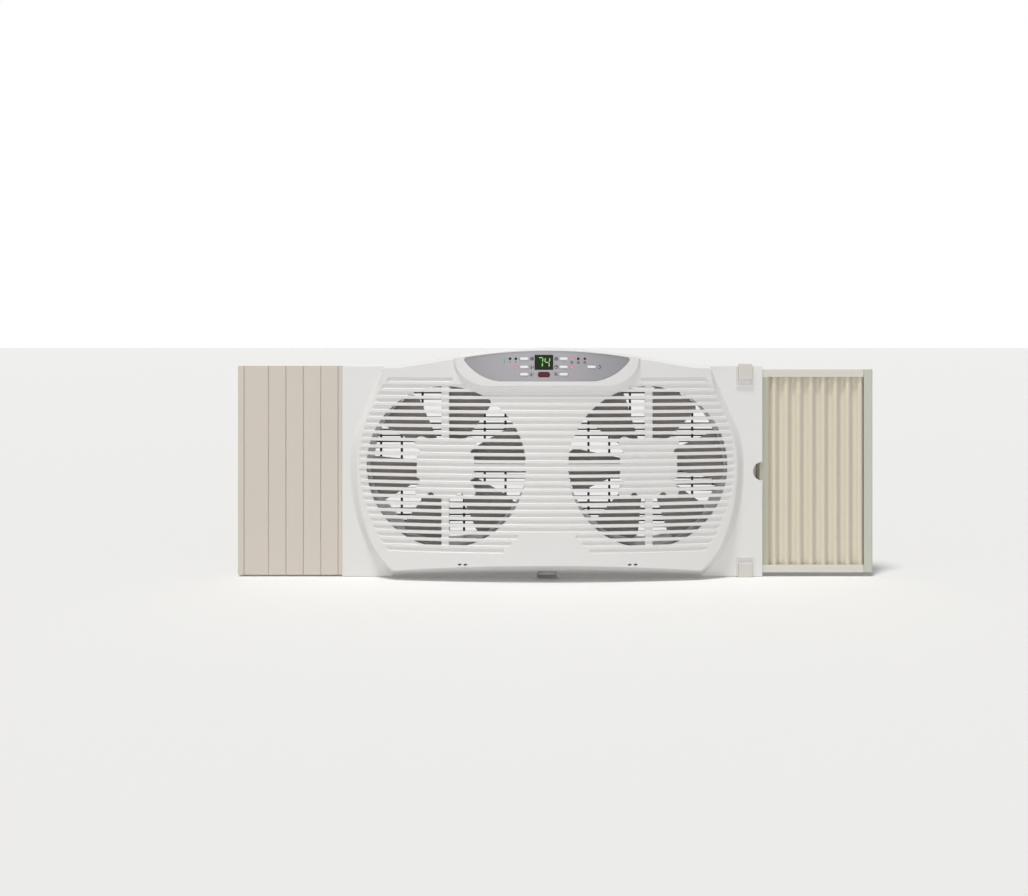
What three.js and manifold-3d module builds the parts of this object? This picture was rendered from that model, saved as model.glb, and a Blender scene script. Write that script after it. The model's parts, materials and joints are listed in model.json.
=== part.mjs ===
// Twin window fan with a bowed louvre grille, a slatted filler panel on the left and a
// pleated extender on the right. Millimetres, +Z up, the room side faces -Y.
// The origin lies on the mirror plane of the two fans, on the resting surface, in the
// middle of the mounting plate's thickness.
import * as THREE from 'three';
import { mergeVertices } from 'three/addons/utils/BufferGeometryUtils.js';
import Module from 'manifold-3d';

// ---------------------------------------------------------------- driving dimensions
const FIT = 0.3; // gap between pieces that touch
const RUNNING_GAP = 0.5; // gap beside a piece that turns
const WALL = 2.8; // wall of the front cover
const ROUND_STEPS = 16; // facets of a small round

// Mounting flange and plate
const SIDE_MARGIN = { left: 38, right: 54 }; // from the openings out to the flange's ends
const HEADROOM = 29; // from the openings up to the flange's upper edge
const FOOTROOM = 49; // from the resting surface up to the openings
const PLATE = 2.4; // rear mounting plate
const CHANNEL = 11.6; // depth between flange and plate, where the side panels run
const EDGE_ROUND = 1.5;

// Raised front field
const DOME_MARGIN = 27.5; // from the openings out to the widest place of its foot
const DOME_CROWN = 20; // rise of its top edge over the flange
const DOME_DEPTH = 45; // forward reach at the middle
const BOW_RADIUS = 1180; // the field is bowed in plan
const FACET = 100; // width of the facets of the bow
const DOME_CHAMFER_RISE = 0.52; // rise of the underside per mm forward
const DOME_CHAMFER_START = 2;
const CHAMFER_WALL = 1.15; // upright thickness of the sloping wall per mm of wall
const SIDE_FILLET = 14;
const TOP_FILLET = 4;

// Fans
const OPENING_RADIUS = 116;
const OPENING_GAP = 60; // between the two openings
const OPENING_STEPS = 32;
const BLADE_TIP_GAP = 1.5;
const BLADE_COUNT = 6;
const BLADE_HALF_ANGLE = 18.5; // degrees
const BLADE_THICKNESS = 2.2;
const BLADE_PHASE = { left: 72, right: 66 }; // degrees, seen from the room

// Louvres
const GROOVE_PITCH = 10.19;
const GROOVE_HEIGHT = 5.7;
const GROOVE_DEPTH = 1.4;
const GROOVE_TOP_GAP = 19.6; // from the flange's upper edge down to the highest groove
const GROOVE_LOWEST = 45; // no groove's centre lies lower
const LOUVRE_DEPTH = 6; // depth of the bars across the openings
const GROOVE_END_MARGIN = 10.5; // from the openings out to the longest groove's end
const GROOVE_END_RADIUS = 203; // the groove ends lie on an arc
const GROOVE_END_RISE = 3; // of the arc's centre over the fans' axes
const SPOKE_WIDTH = 11;
const HUB_HALF = 41.5;
const HUB_LOBE = 35;
const HUB_LOBE_RADIUS = 9;
const HUB_SCALLOP = 21;
const HUB_SCALLOP_RADIUS = 5;

// Control panel. Its heights are counted from the flange's upper edge.
const BEZEL_PROUD = 4.6;
const BEZEL_SINK = 0.5; // the bezel's foot lies this far under the face
const LENS_RECESS = 1;
const LENS_THICKNESS = 1.8;
const WINDOW_HALF_WIDTH = 76;
const WINDOW_LOW = -17;
const WINDOW_HIGH = 16;
const CLUSTER_X = -4.4; // the keys and the display sit a little left of the middle
const DISPLAY = { width: 26, height: 21, rise: 5.5 };
const RECEIVER = { width: 16.6, height: 7.3, rise: -12 };
const KEY = { width: 12.2, height: 3.8, proud: 0.9, lip: 1, travel: 0.6 };
const KEY_COLUMN = 28; // column distance from the cluster's middle
const KEY_RISES = { upper: 10.6, middle: -1, lower: -11.5 };
const KEY_STEM_RADIUS = 1.5;
const POWER_KEY_X = 63.4;
const LAMP_RADIUS = 1.6;
const LAMP_COLUMNS = [-56.5, -48.2, -40, 39.8, 48.9, 58.2]; // from the cluster's middle
const BOARD_THICKNESS = 1.6;
const BOARD_SETBACK = 38.4; // of the control board in front of the flange
const BOARD_MARGIN = 8; // beside the control panel's window
const SWITCH_HEIGHT = 3.4;
const SWITCH_SIDE = 5.8;

// Motors
const SHAFT_RADIUS = 3;
const ROTOR_RADIUS = 20.4;
const STATOR_RADIUS = 40;
const STATOR_LENGTH = 16;
const MOTOR_CUP_RADIUS = 34;
const MOTOR_SHEET = 2.5;
const BEARING_RADIUS = 7;
const MOTOR_STEPS = 12;

// Rear cover and air ducts
const DUCT_CLEARANCE = 1.2; // of the ducts round the openings
const DUCT_WALL = 2.2;
const DUCT_STEPS = 32;
const REAR_DEPTH = 54.4;
const REAR_WALL = 2.4;
const REAR_CORNER = 34;
const GUARD_PITCH = 9.28;
const GUARD_BAR = 2.2;
const GUARD_DEPTH = 2; // of each of the two layers of bars
const GUARD_COLUMN_PITCH = 31.7; // counted from the mirror plane
const GUARD_COLUMN = 3.4;
const GUARD_SHORTER = 1.2; // the upright bars than the duct's bore
const LATCH_SLOTS = [-125, -116.7, 118.4, 127];
const FEET = [-190, -60, 60, 190];
const FOOT_WIDTH = 5;
const GUIDE = 2.4; // height of a rail guide

// Extender on the right
const RAIL_HEIGHT = 11.4;
const RAIL_TOP_GAP = 2.8; // under the flange's upper rim
const RAIL_BOTTOM_GAP = 3.1; // over its lower rim
const RAIL_DEPTH = 10.4;
const RAIL_SKIN = 1.4;
const RAIL_INNER_END = 185;
const EXTENDER_REACH = 162.7; // beyond the flange
const STILE_WIDTH = 13.1;
const STILE_POCKET = 5; // depth of the end stile's channel for the curtain
const INNER_STILE = { lap: 7, shown: 9.7 }; // behind and beside the flange
const PLEATS = 8;
const PLEAT_DEPTH = 6.4;
const PLEAT_SHEET = 1.2;
const PLEAT_TUCK = 4;

// Filler panel on the left
const PANEL_REACH = 154.4; // beyond the flange
const PANEL_THICKNESS = 8;
const PANEL_TONGUE = 24; // length behind the flange
const SLAT_PITCH = 25.6;
const END_STRIP = 9.4;
const WIDE_SLAT = 35.8;
const SCORE = 1.6;
const PANEL_SHORTER = { below: 2.5, above: 0.5 }; // than the flange

// Lock clips
const CLIP = { inset: 25.7, width: 20.6, height: 24.4, proud: 2.9, travel: 4, skin: 1.6, edge: 0.8 };
const CLIP_FINGER = 4.2; // height of the upper clip over the rail, less its travel
const CLIP_FOOT_WIDTH = 12;
const POCKET = { rib: 1.8, proud: 2, height: 29 };

// Screws
const SCREW = { shank: 1.7, head: 3.6, headHeight: 2.4, length: 8 };
const BOSS_RADIUS = 4.6;
const POST_RADIUS = 3;
const LOW_SCREW = 20; // height of the screw under the grille

// ---------------------------------------------------------------- derived sizes and planes
const FAN_X = OPENING_RADIUS + OPENING_GAP / 2;
const FAN_Z = OPENING_RADIUS + FOOTROOM;
const FANS_HALF_WIDTH = FAN_X + OPENING_RADIUS;
const FLANGE_LEFT = -FANS_HALF_WIDTH - SIDE_MARGIN.left;
const FLANGE_RIGHT = FANS_HALF_WIDTH + SIDE_MARGIN.right;
const FLANGE_HEIGHT = FAN_Z + OPENING_RADIUS + HEADROOM;
const DOME_HALF_WIDTH = FANS_HALF_WIDTH + DOME_MARGIN;
const FACETS = Math.ceil(DOME_HALF_WIDTH / FACET); // on each side of the mirror plane
const EXTENDER_RIGHT = FLANGE_RIGHT + EXTENDER_REACH;
const PANEL_LEFT = FLANGE_LEFT - PANEL_REACH;
const BLADE_RADIUS = OPENING_RADIUS - BLADE_TIP_GAP;
const DUCT_RADIUS = OPENING_RADIUS + DUCT_CLEARANCE;
const GROOVE_TOP = FLANGE_HEIGHT - GROOVE_TOP_GAP;
const GROOVE_COUNT = Math.floor((GROOVE_TOP - GROOVE_LOWEST) / GROOVE_PITCH) + 1;
const PLATE_BACK = PLATE / 2;
const PLATE_FRONT = -PLATE / 2;
const FLANGE_BACK = PLATE_FRONT - CHANNEL;
const FLANGE_FRONT = FLANGE_BACK - WALL;
const RIM_BACK = PLATE_FRONT - FIT;
const DUCT_OUTER = DUCT_RADIUS + DUCT_WALL;
const DUCT_FRONT = FLANGE_FRONT - forwardReach(FAN_X + DUCT_OUTER) + LOUVRE_DEPTH + RUNNING_GAP;
const DUCT_BACK = REAR_DEPTH - REAR_WALL - FIT;
const BOX_MARGIN = REAR_WALL + RUNNING_GAP; // of the rear cover's box round the ducts
const BOX = {
  halfWidth: FAN_X + DUCT_OUTER + BOX_MARGIN,
  low: FAN_Z - DUCT_OUTER - BOX_MARGIN,
  high: FAN_Z + DUCT_OUTER + BOX_MARGIN,
};
const RAIL_TOP = FLANGE_HEIGHT - WALL - RAIL_TOP_GAP; // top of the upper rail
const RAIL_BOTTOM = WALL + RAIL_BOTTOM_GAP; // underside of the lower rail
const MOTOR_FRONT = FLANGE_FRONT - forwardReach(FAN_X + HUB_HALF) + LOUVRE_DEPTH + 0.5;
const MOTOR_SCREW_HEAD = MOTOR_FRONT + FIT + MOTOR_SHEET + FIT;

// Forward reach of the bowed face, which is made of flat facets, at a distance from the
// mirror plane.
function forwardReach(x) {
  const bow = (station) => DOME_DEPTH - (station * FACET) ** 2 / (2 * BOW_RADIUS);
  const station = Math.floor(Math.abs(x) / FACET);
  return THREE.MathUtils.lerp(bow(station), bow(station + 1), Math.abs(x) / FACET - station);
}

// ---------------------------------------------------------------- finishes
function finish(color, roughness, metalness = 0) {
  return new THREE.MeshStandardMaterial({ color, roughness, metalness });
}
const WHITE = finish(0xe9e8e4, 0.45);
const CHARCOAL = finish(0x34363a, 0.6);
const BLADE_GREY = finish(0x5c5856, 0.42);
const SILVER = finish(0xa4a4aa, 0.35, 0.3);
const KEY_WHITE = finish(0xf1eff2, 0.4);
const DISPLAY_BLACK = finish(0x10180e, 0.15);
const RECEIVER_RED = finish(0x4a1018, 0.2);
const BEIGE = finish(0xcdc6bb, 0.6);
const CLIP_GREY = finish(0xc9c6c0, 0.5);
const STEEL = finish(0x8c9094, 0.35, 0.9);
const LAMINATION = finish(0x5a5c60, 0.5, 0.8);
const COPPER = finish(0xa5562e, 0.4, 0.8);
const BOARD_GREEN = finish(0x2c6a3c, 0.5);
const RUBBER = finish(0x1c1c1e, 0.8);

// ---------------------------------------------------------------- solids
const wasm = await Module();
wasm.setup();

// A closed solid from a geometry: shared corners are merged, slivers without area are
// left out, and the faces are turned outwards.
function solid(geometry) {
  const bare = geometry.clone();
  bare.deleteAttribute('normal');
  bare.deleteAttribute('uv');
  const merged = mergeVertices(bare, 1e-4);
  const corners = merged.index.array;
  const triangles = [];
  for (let i = 0; i < corners.length; i += 3) {
    const [a, b, c] = [corners[i], corners[i + 1], corners[i + 2]];
    if (a !== b && b !== c && c !== a) {
      triangles.push(a, b, c);
    }
  }
  const points = merged.attributes.position;
  if (signedVolume(points, triangles) < 0) {
    triangles.reverse();
  }
  return new wasm.Manifold(new wasm.Mesh({
    numProp: 3,
    vertProperties: new Float32Array(points.array),
    triVerts: new Uint32Array(triangles),
  }));
}

function signedVolume(points, triangles) {
  const [a, b, c] = [new THREE.Vector3(), new THREE.Vector3(), new THREE.Vector3()];
  let sum = 0;
  for (let i = 0; i < triangles.length; i += 3) {
    a.fromBufferAttribute(points, triangles[i]);
    b.fromBufferAttribute(points, triangles[i + 1]);
    c.fromBufferAttribute(points, triangles[i + 2]);
    sum += a.dot(b.cross(c));
  }
  return sum;
}

function joined(solids) {
  return solids.reduce((whole, piece) => whole.add(piece));
}

function cut(body, tools) {
  return tools.reduce((rest, tool) => rest.subtract(tool), body);
}

function extruded(shape, depth) {
  return new THREE.ExtrudeGeometry(shape, { depth, bevelEnabled: false, steps: 1 });
}

// An outline drawn in X and Z, run from front to back along Y.
function alongY(shape, front, back) {
  const geometry = extruded(shape, back - front);
  geometry.rotateX(Math.PI / 2);
  geometry.translate(0, back, 0);
  return solid(geometry);
}

// An outline drawn in X and Y, run upwards.
function alongZ(shape, low, high) {
  const geometry = extruded(shape, high - low);
  geometry.translate(0, 0, low);
  return solid(geometry);
}

// An outline drawn in Y and Z, run from left to right.
function alongX(shape, left, right) {
  const geometry = extruded(shape, right - left);
  const turn = new THREE.Matrix4().makeBasis(
    new THREE.Vector3(0, 1, 0),
    new THREE.Vector3(0, 0, 1),
    new THREE.Vector3(1, 0, 0),
  );
  geometry.applyMatrix4(turn);
  geometry.translate(left, 0, 0);
  return solid(geometry);
}

function polygon(points) {
  return new THREE.Shape(points.map(([u, v]) => new THREE.Vector2(u, v)));
}

function rectangle(u0, v0, u1, v1) {
  return polygon([[u0, v0], [u1, v0], [u1, v1], [u0, v1]]);
}

function roundedRectangle(u0, v0, u1, v1, radius, steps = 4) {
  const corners = [
    [u1 - radius, v0 + radius, -90],
    [u1 - radius, v1 - radius, 0],
    [u0 + radius, v1 - radius, 90],
    [u0 + radius, v0 + radius, 180],
  ];
  const points = [];
  for (const [u, v, start] of corners) {
    for (let i = 0; i <= steps; i += 1) {
      points.push(polar(u, v, radius, start + (90 * i) / steps));
    }
  }
  return polygon(points);
}

function polar(u, v, radius, degrees) {
  const angle = THREE.MathUtils.degToRad(degrees);
  return [u + radius * Math.cos(angle), v + radius * Math.sin(angle)];
}

function disc(u, v, radius, steps = ROUND_STEPS, phase = 0) {
  const points = [];
  for (let i = 0; i < steps; i += 1) {
    points.push(polar(u, v, radius, phase + (360 * i) / steps));
  }
  return polygon(points);
}

function block(x0, y0, z0, x1, y1, z1) {
  return alongZ(rectangle(x0, y0, x1, y1), z0, z1);
}

// A profile of [radius, y] pairs turned about an axis along Y.
function turned(profile, x, z, steps = ROUND_STEPS) {
  const points = profile.map(([radius, y]) => new THREE.Vector2(radius, y));
  const geometry = new THREE.LatheGeometry(points, steps);
  geometry.translate(x, 0, z);
  return solid(geometry);
}

// A ring of square section turned about an axis along Y.
function turnedRing(inner, outer, front, back, x, z, steps = ROUND_STEPS) {
  const profile = [[inner, front], [outer, front], [outer, back], [inner, back], [inner, front]];
  return turned(profile, x, z, steps);
}

// Closed skin over rings of equal count. The first ring is the rearmost, and each ring
// runs anticlockwise as seen from the front.
function loft(rings) {
  const count = rings[0].length;
  const corners = rings.flat().flatMap((point) => [point.x, point.y, point.z]);
  const index = [];
  for (let ring = 0; ring + 1 < rings.length; ring += 1) {
    for (let i = 0; i < count; i += 1) {
      const next = (i + 1) % count;
      const [a, b] = [ring * count + i, ring * count + next];
      const [c, d] = [a + count, b + count];
      index.push(a, b, d, a, d, c);
    }
  }
  const last = (rings.length - 1) * count;
  const flat = (ring) => ring.map((point) => new THREE.Vector2(point.x, point.z));
  for (const [a, b, c] of THREE.ShapeUtils.triangulateShape(flat(rings[0]), [])) {
    index.push(c, b, a);
  }
  for (const [a, b, c] of THREE.ShapeUtils.triangulateShape(flat(rings.at(-1)), [])) {
    index.push(last + a, last + b, last + c);
  }
  const geometry = new THREE.BufferGeometry();
  geometry.setAttribute('position', new THREE.Float32BufferAttribute(corners, 3));
  geometry.setIndex(index);
  return solid(geometry);
}

// ---------------------------------------------------------------- outlines
function mirrored(rightHalf) {
  const left = rightHalf
    .filter((point) => point.x > 0)
    .map((point) => ({ ...point, x: -point.x }))
    .reverse();
  return [...rightHalf, ...left];
}

// Inward unit normal at each point of an anticlockwise outline in X and Z.
function inwardNormals(outline) {
  return outline.map((point, i) => {
    const before = outline.at(i - 1);
    const after = outline[(i + 1) % outline.length];
    const along = new THREE.Vector2(after.x - before.x, after.z - before.z).normalize();
    return new THREE.Vector2(-along.y, along.x);
  });
}

function inset(outline, distance) {
  const normals = inwardNormals(outline);
  return outline.map((point, i) => ({
    ...point,
    x: point.x + normals[i].x * distance,
    z: point.z + normals[i].y * distance,
  }));
}

function shapeOf(outline) {
  return polygon(outline.map((point) => [point.x, point.z]));
}

// Foot of the raised field on the flange, from the bottom up to the top centre. Its side
// goes through places given by the distance from the widest place and by the share of
// the flange's height.
function domeOutline() {
  const through = [
    [67.5, -0.013], [35.5, 0.09], [17.5, 0.2], [5.5, 0.335], [0, 0.5], [4, 0.652], [20.5, 0.794], [51.5, 1],
  ].map(([inwards, share]) => new THREE.Vector2(DOME_HALF_WIDTH - inwards, share * FLANGE_HEIGHT));
  const sidePoints = new THREE.SplineCurve(through).getPoints(11).map((point) => {
    const nearTop = THREE.MathUtils.smoothstep(point.y, FLANGE_HEIGHT - 40, FLANGE_HEIGHT);
    return { x: point.x, z: point.y, fillet: THREE.MathUtils.lerp(SIDE_FILLET, TOP_FILLET, nearTop) };
  });
  const topPoints = [[77.5, 0.05], [117.5, 0.375], [155.5, 0.675], [222.5, 0.925], [DOME_HALF_WIDTH, 1]]
    .map(([inwards, share]) => ({
      x: DOME_HALF_WIDTH - inwards, z: FLANGE_HEIGHT + share * DOME_CROWN, fillet: TOP_FILLET,
    }));
  return mirrored([...sidePoints, ...topPoints]);
}

// Foot of the rounded bezel round the control panel: x, rise over the flange's upper
// edge, and the width of its sweep.
function bezelOutline() {
  const right = [
    [84, -36.5, 8], [104, -32.5, 8], [121, -23, 8], [131, -10, 6], [135, 3, 5], [133.5, 12, 3],
    [128, 15.2, 3], [88, 20.8, 3], [44, 25, 3], [0, 26.8, 3],
  ];
  return mirrored(right.map(([x, rise, fillet]) => ({ x, z: FLANGE_HEIGHT + rise, fillet })));
}

// The silver panel: a straight lower edge, swept ends and an arched top.
function lensOutline() {
  const end = new THREE.SplineCurve([
    [68, -21.2], [80, -18.8], [97, -11.1], [111, 0.3], [118.5, 9.6],
  ].map(([x, rise]) => new THREE.Vector2(x, rise))).getPoints(7).map((point) => point.toArray());
  const arch = [[116.4, 11.9], [80, 17], [40, 20.3], [0, 21.4]];
  return mirrored([...end, ...arch].map(([x, rise]) => ({ x, z: FLANGE_HEIGHT + rise })));
}

// Half-space behind the bowed face moved back by setback (forward when negative).
function behindFace(setback) {
  const points = [];
  for (let i = -FACETS; i <= FACETS; i += 1) {
    points.push([i * FACET, FLANGE_FRONT - forwardReach(i * FACET) + setback]);
  }
  const span = FACETS * FACET;
  points.push([span, FLANGE_FRONT + 200], [-span, FLANGE_FRONT + 200]);
  return alongZ(polygon(points), -20, FLANGE_HEIGHT + 60);
}

// Space above the sloping underside of the raised field.
function aboveChamfer(lift) {
  const reach = DOME_DEPTH + 30;
  const low = DOME_CHAMFER_START + lift;
  const shape = polygon([
    [FLANGE_FRONT - reach, low + reach * DOME_CHAMFER_RISE],
    [FLANGE_FRONT, low],
    [FLANGE_FRONT + 100, low],
    [FLANGE_FRONT + 100, FLANGE_HEIGHT + 60],
    [FLANGE_FRONT - reach, FLANGE_HEIGHT + 60],
  ]);
  return alongX(shape, FLANGE_LEFT - 20, FLANGE_RIGHT + 20);
}

// A mound whose side sweeps up from its foot onto the bowed face.
function mound(outline, skin, proud, back, footRise) {
  const foot = inset(outline, skin);
  const profile = [[0, 0], [0.28, 0.14], [0.55, 0.55], [0.8, 0.9], [1, 1]];
  const normals = inwardNormals(outline);
  const ring = (share, height) => foot.map((point, i) => {
    const x = point.x + normals[i].x * point.fillet * share;
    const z = point.z + normals[i].y * point.fillet * share;
    return new THREE.Vector3(x, FLANGE_FRONT - height(x), z);
  });
  const rings = [ring(0, () => -back)];
  for (const [share, rise] of profile) {
    rings.push(ring(share, (x) => footRise(x) + (forwardReach(x) + proud - footRise(x)) * rise));
  }
  rings.push(ring(1.3, () => DOME_DEPTH + 30));
  return loft(rings).intersect(behindFace(-proud));
}

// ---------------------------------------------------------------- front cover
function grooveEnd(z) {
  const centre = FANS_HALF_WIDTH + GROOVE_END_MARGIN - GROOVE_END_RADIUS;
  return centre + Math.sqrt(GROOVE_END_RADIUS ** 2 - (z - FAN_Z - GROOVE_END_RISE) ** 2);
}

// Outlines of all grooves: the top two stop at the bezel and the lowest three leave a
// bare field at the middle.
function grooveShapes() {
  const innerEnds = {
    0: 134.5,
    1: 117,
    [GROOVE_COUNT - 3]: 41,
    [GROOVE_COUNT - 2]: 50.7,
    [GROOVE_COUNT - 1]: 61.2,
  };
  const shapes = [];
  for (let row = 0; row < GROOVE_COUNT; row += 1) {
    const high = GROOVE_TOP - row * GROOVE_PITCH + GROOVE_HEIGHT / 2;
    const low = high - GROOVE_HEIGHT;
    const outer = [[grooveEnd(low), low], [grooveEnd(high), high]];
    if (row in innerEnds) {
      const inner = innerEnds[row];
      shapes.push(polygon([[inner, low], ...outer, [inner, high]]));
      const flipped = [[-inner, high], [-outer[1][0], high], [-outer[0][0], low], [-inner, low]];
      shapes.push(polygon(flipped));
    } else {
      shapes.push(polygon([
        [-outer[0][0], low], ...outer, [-outer[1][0], high],
      ]));
    }
  }
  return shapes;
}

// Hub plate of one opening with its four lobes, and the spokes that carry it.
function hubAndSpokes(x, towardsMiddle) {
  const [front, back] = [-100, 0];
  const plate = alongY(rectangle(
    x - HUB_HALF, FAN_Z - HUB_HALF, x + HUB_HALF, FAN_Z + HUB_HALF,
  ), front, back);
  const corners = [[-1, -1], [1, -1], [1, 1], [-1, 1]];
  const nips = corners.map(([u, v]) => alongY(
    disc(x + u * HUB_HALF, FAN_Z + v * HUB_HALF, HUB_LOBE_RADIUS, 6), front, back));
  const lobes = corners.map(([u, v]) => alongY(
    disc(x + u * HUB_LOBE, FAN_Z + v * HUB_LOBE, HUB_LOBE_RADIUS, 8, 22.5), front, back));
  const scallops = corners.flatMap(([u, v]) => [
    alongY(disc(x + u * HUB_HALF, FAN_Z + v * HUB_SCALLOP, HUB_SCALLOP_RADIUS, 6), front, back),
    alongY(disc(x + u * HUB_SCALLOP, FAN_Z + v * HUB_HALF, HUB_SCALLOP_RADIUS, 6), front, back),
  ]);
  const hub = joined([cut(plate, [...nips, ...scallops]), ...lobes]);
  const upright = alongY(rectangle(
    x - SPOKE_WIDTH / 2, FAN_Z - OPENING_RADIUS - 5, x + SPOKE_WIDTH / 2, FAN_Z + OPENING_RADIUS + 5,
  ), front, back);
  const level = alongY(rectangle(
    Math.min(x, x + towardsMiddle * (OPENING_RADIUS + 5)),
    FAN_Z - GROOVE_PITCH / 2,
    Math.max(x, x + towardsMiddle * (OPENING_RADIUS + 5)),
    FAN_Z + GROOVE_PITCH / 2,
  ), front, back);
  return joined([hub, upright, level]);
}

function openingCylinder(x, radius) {
  return alongY(disc(x, FAN_Z, radius, OPENING_STEPS), -100, FLANGE_BACK + 50);
}

// Flange, raised field and bezel as one outer body, without its hollow.
function coverBody() {
  const noRise = () => 0;
  const bezelRise = (x) => forwardReach(x) - BEZEL_SINK;
  const flange = alongX(polygon([
    [FLANGE_FRONT, EDGE_ROUND],
    [FLANGE_FRONT + EDGE_ROUND, 0],
    [RIM_BACK, 0],
    [RIM_BACK, WALL],
    [FLANGE_BACK, WALL],
    [FLANGE_BACK, FLANGE_HEIGHT - WALL],
    [RIM_BACK, FLANGE_HEIGHT - WALL],
    [RIM_BACK, FLANGE_HEIGHT],
    [FLANGE_FRONT + EDGE_ROUND, FLANGE_HEIGHT],
    [FLANGE_FRONT, FLANGE_HEIGHT - EDGE_ROUND],
  ]), FLANGE_LEFT, FLANGE_RIGHT);
  const dome = mound(domeOutline(), 0, 0, WALL, noRise).intersect(aboveChamfer(0));
  const bezel = mound(bezelOutline(), 0, BEZEL_PROUD, WALL, bezelRise);
  return joined([flange, dome, bezel]);
}

// Everything behind the walls of the raised field and the bezel.
function coverHollow() {
  const floor = WALL * CHAMFER_WALL;
  const outline = domeOutline();
  const dome = mound(outline, WALL, -WALL, 0, () => 0).intersect(aboveChamfer(floor));
  const bezel = alongY(shapeOf(inset(bezelOutline(), WALL + 1)), -100, FLANGE_FRONT)
    .intersect(behindFace(WALL));
  const mouth = alongY(shapeOf(inset(outline, WALL)), FLANGE_FRONT - 1, FLANGE_BACK + 1)
    .intersect(block(-FLANGE_RIGHT, -40, DOME_CHAMFER_START + floor,
      FLANGE_RIGHT, 0, FLANGE_HEIGHT - WALL - 2));
  return joined([dome, bezel, mouth]);
}

// Shallow grooves over the whole face, deepened to slots in the openings.
function louvreCut() {
  const holes = [-FAN_X, FAN_X].map((x) => openingCylinder(x, OPENING_RADIUS)
    .subtract(hubAndSpokes(x, -Math.sign(x))));
  const uncut = cut(behindFace(GROOVE_DEPTH), holes);
  return joined(grooveShapes().map((shape) => alongY(shape, -100, 0))).subtract(uncut);
}

// What stands inside the hollow: thick fields behind the louvres, and columns for the
// motors, the boards and the screw at the bottom centre.
function hollowFillings() {
  const column = (x, z, radius, back) => alongY(disc(x, z, radius, 6), -100, back);
  const backings = [-FAN_X, FAN_X].map((x) => openingCylinder(x, OPENING_RADIUS + DUCT_WALL)
    .subtract(behindFace(LOUVRE_DEPTH)));
  const motorBosses = motorScrewPlaces().map(([x, z]) => column(x, z, BOSS_RADIUS, MOTOR_FRONT));
  const boardPosts = boardPostPlaces().map(([x, z, back]) => column(x, z, POST_RADIUS, back));
  const lowBosses = coverScrewPlaces().filter(([, z]) => z < FLANGE_HEIGHT / 2)
    .map(([x, z]) => column(x, z, BOSS_RADIUS, 0));
  return [...backings, ...motorBosses, ...boardPosts, ...lowBosses];
}

function pilotHole(x, z, headFront) {
  return alongY(disc(x, z, SCREW.shank + FIT, 6), headFront - SCREW.length - FIT, headFront);
}

function frontCover() {
  const shell = coverBody().subtract(cut(coverHollow(), hollowFillings()));
  const louvred = shell.subtract(louvreCut());
  const channelBosses = coverScrewPlaces().map(([x, z]) => alongY(
    disc(x, z, BOSS_RADIUS, 6), FLANGE_FRONT + 1, RIM_BACK));
  const fitted = joined([louvred, ...channelBosses]);

  // Seat and window of the control panel.
  const seat = alongY(shapeOf(inset(lensOutline(), -FIT)), -100, 0)
    .subtract(behindFace(-(BEZEL_PROUD - LENS_RECESS - LENS_THICKNESS - FIT)));
  const window = alongY(rectangle(
    -WINDOW_HALF_WIDTH, FLANGE_HEIGHT + WINDOW_LOW, WINDOW_HALF_WIDTH, FLANGE_HEIGHT + WINDOW_HIGH,
  ), -100, -50);
  const sillNotch = alongY(roundedRectangle(-14, -10, 14, 13, 3, 2), -100, 0);
  const fingerNotch = alongY(disc(FLANGE_RIGHT, FLANGE_HEIGHT / 2, 13.7, 16), -30, FLANGE_BACK + 0.5);
  const latchSlots = LATCH_SLOTS.map((x) => alongY(rectangle(x - 2.4, 24.5, x + 2.4, 27), -100, -36));
  const screwHoles = [
    ...motorScrewPlaces().map(([x, z]) => pilotHole(x, z, MOTOR_SCREW_HEAD)),
    ...coverScrewPlaces().map(([x, z]) => pilotHole(x, z, PLATE_BACK + FIT)),
  ];
  const finished = cut(fitted, [
    seat, window, sillNotch, fingerNotch, ...latchSlots, ...screwHoles, ...clipCuts(),
  ]);
  return joined([finished, ...clipPockets()]);
}

function motorScrewPlaces() {
  const corners = [[-1, -1], [1, -1], [1, 1], [-1, 1]];
  return [-FAN_X, FAN_X].flatMap((x) => corners.map(([u, v]) => [
    x + u * HUB_LOBE, FAN_Z + v * HUB_LOBE,
  ]));
}

// Beside the corners of the rear cover's box, and above and below its middle.
function coverScrewPlaces() {
  const [beside, rise] = [FANS_HALF_WIDTH + 6, OPENING_RADIUS - 3];
  return [
    [-beside, FAN_Z + rise], [0, FLANGE_HEIGHT - WALL - BOSS_RADIUS + 0.4], [beside, FAN_Z + rise],
    [-beside, FAN_Z - rise], [0, LOW_SCREW], [beside, FAN_Z - rise],
  ];
}

const BOARD_FRONT = FLANGE_FRONT - BOARD_SETBACK;
const CONTROL_BOARD = {
  halfWidth: WINDOW_HALF_WIDTH + BOARD_MARGIN,
  low: FLANGE_HEIGHT + WINDOW_LOW - BOARD_MARGIN,
  high: FLANGE_HEIGHT + KEY_RISES.upper + SWITCH_SIDE / 2 + 0.1,
};
const POWER_BOARD = { halfWidth: 38, low: 54, high: 100, front: FLANGE_FRONT - 34 };

// Posts that carry the control board and the power board.
function boardPostPlaces() {
  const posts = ({ halfWidth, low, high }, inwards, top, front) => [-1, 1].flatMap((side) => [
    [side * (halfWidth - inwards), low + inwards, front - FIT],
    [side * (halfWidth - inwards), high - top, front - FIT],
  ]);
  return [
    ...posts(CONTROL_BOARD, 4, 11.6, BOARD_FRONT),
    ...posts(POWER_BOARD, 5, 5, POWER_BOARD.front),
  ];
}

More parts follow.
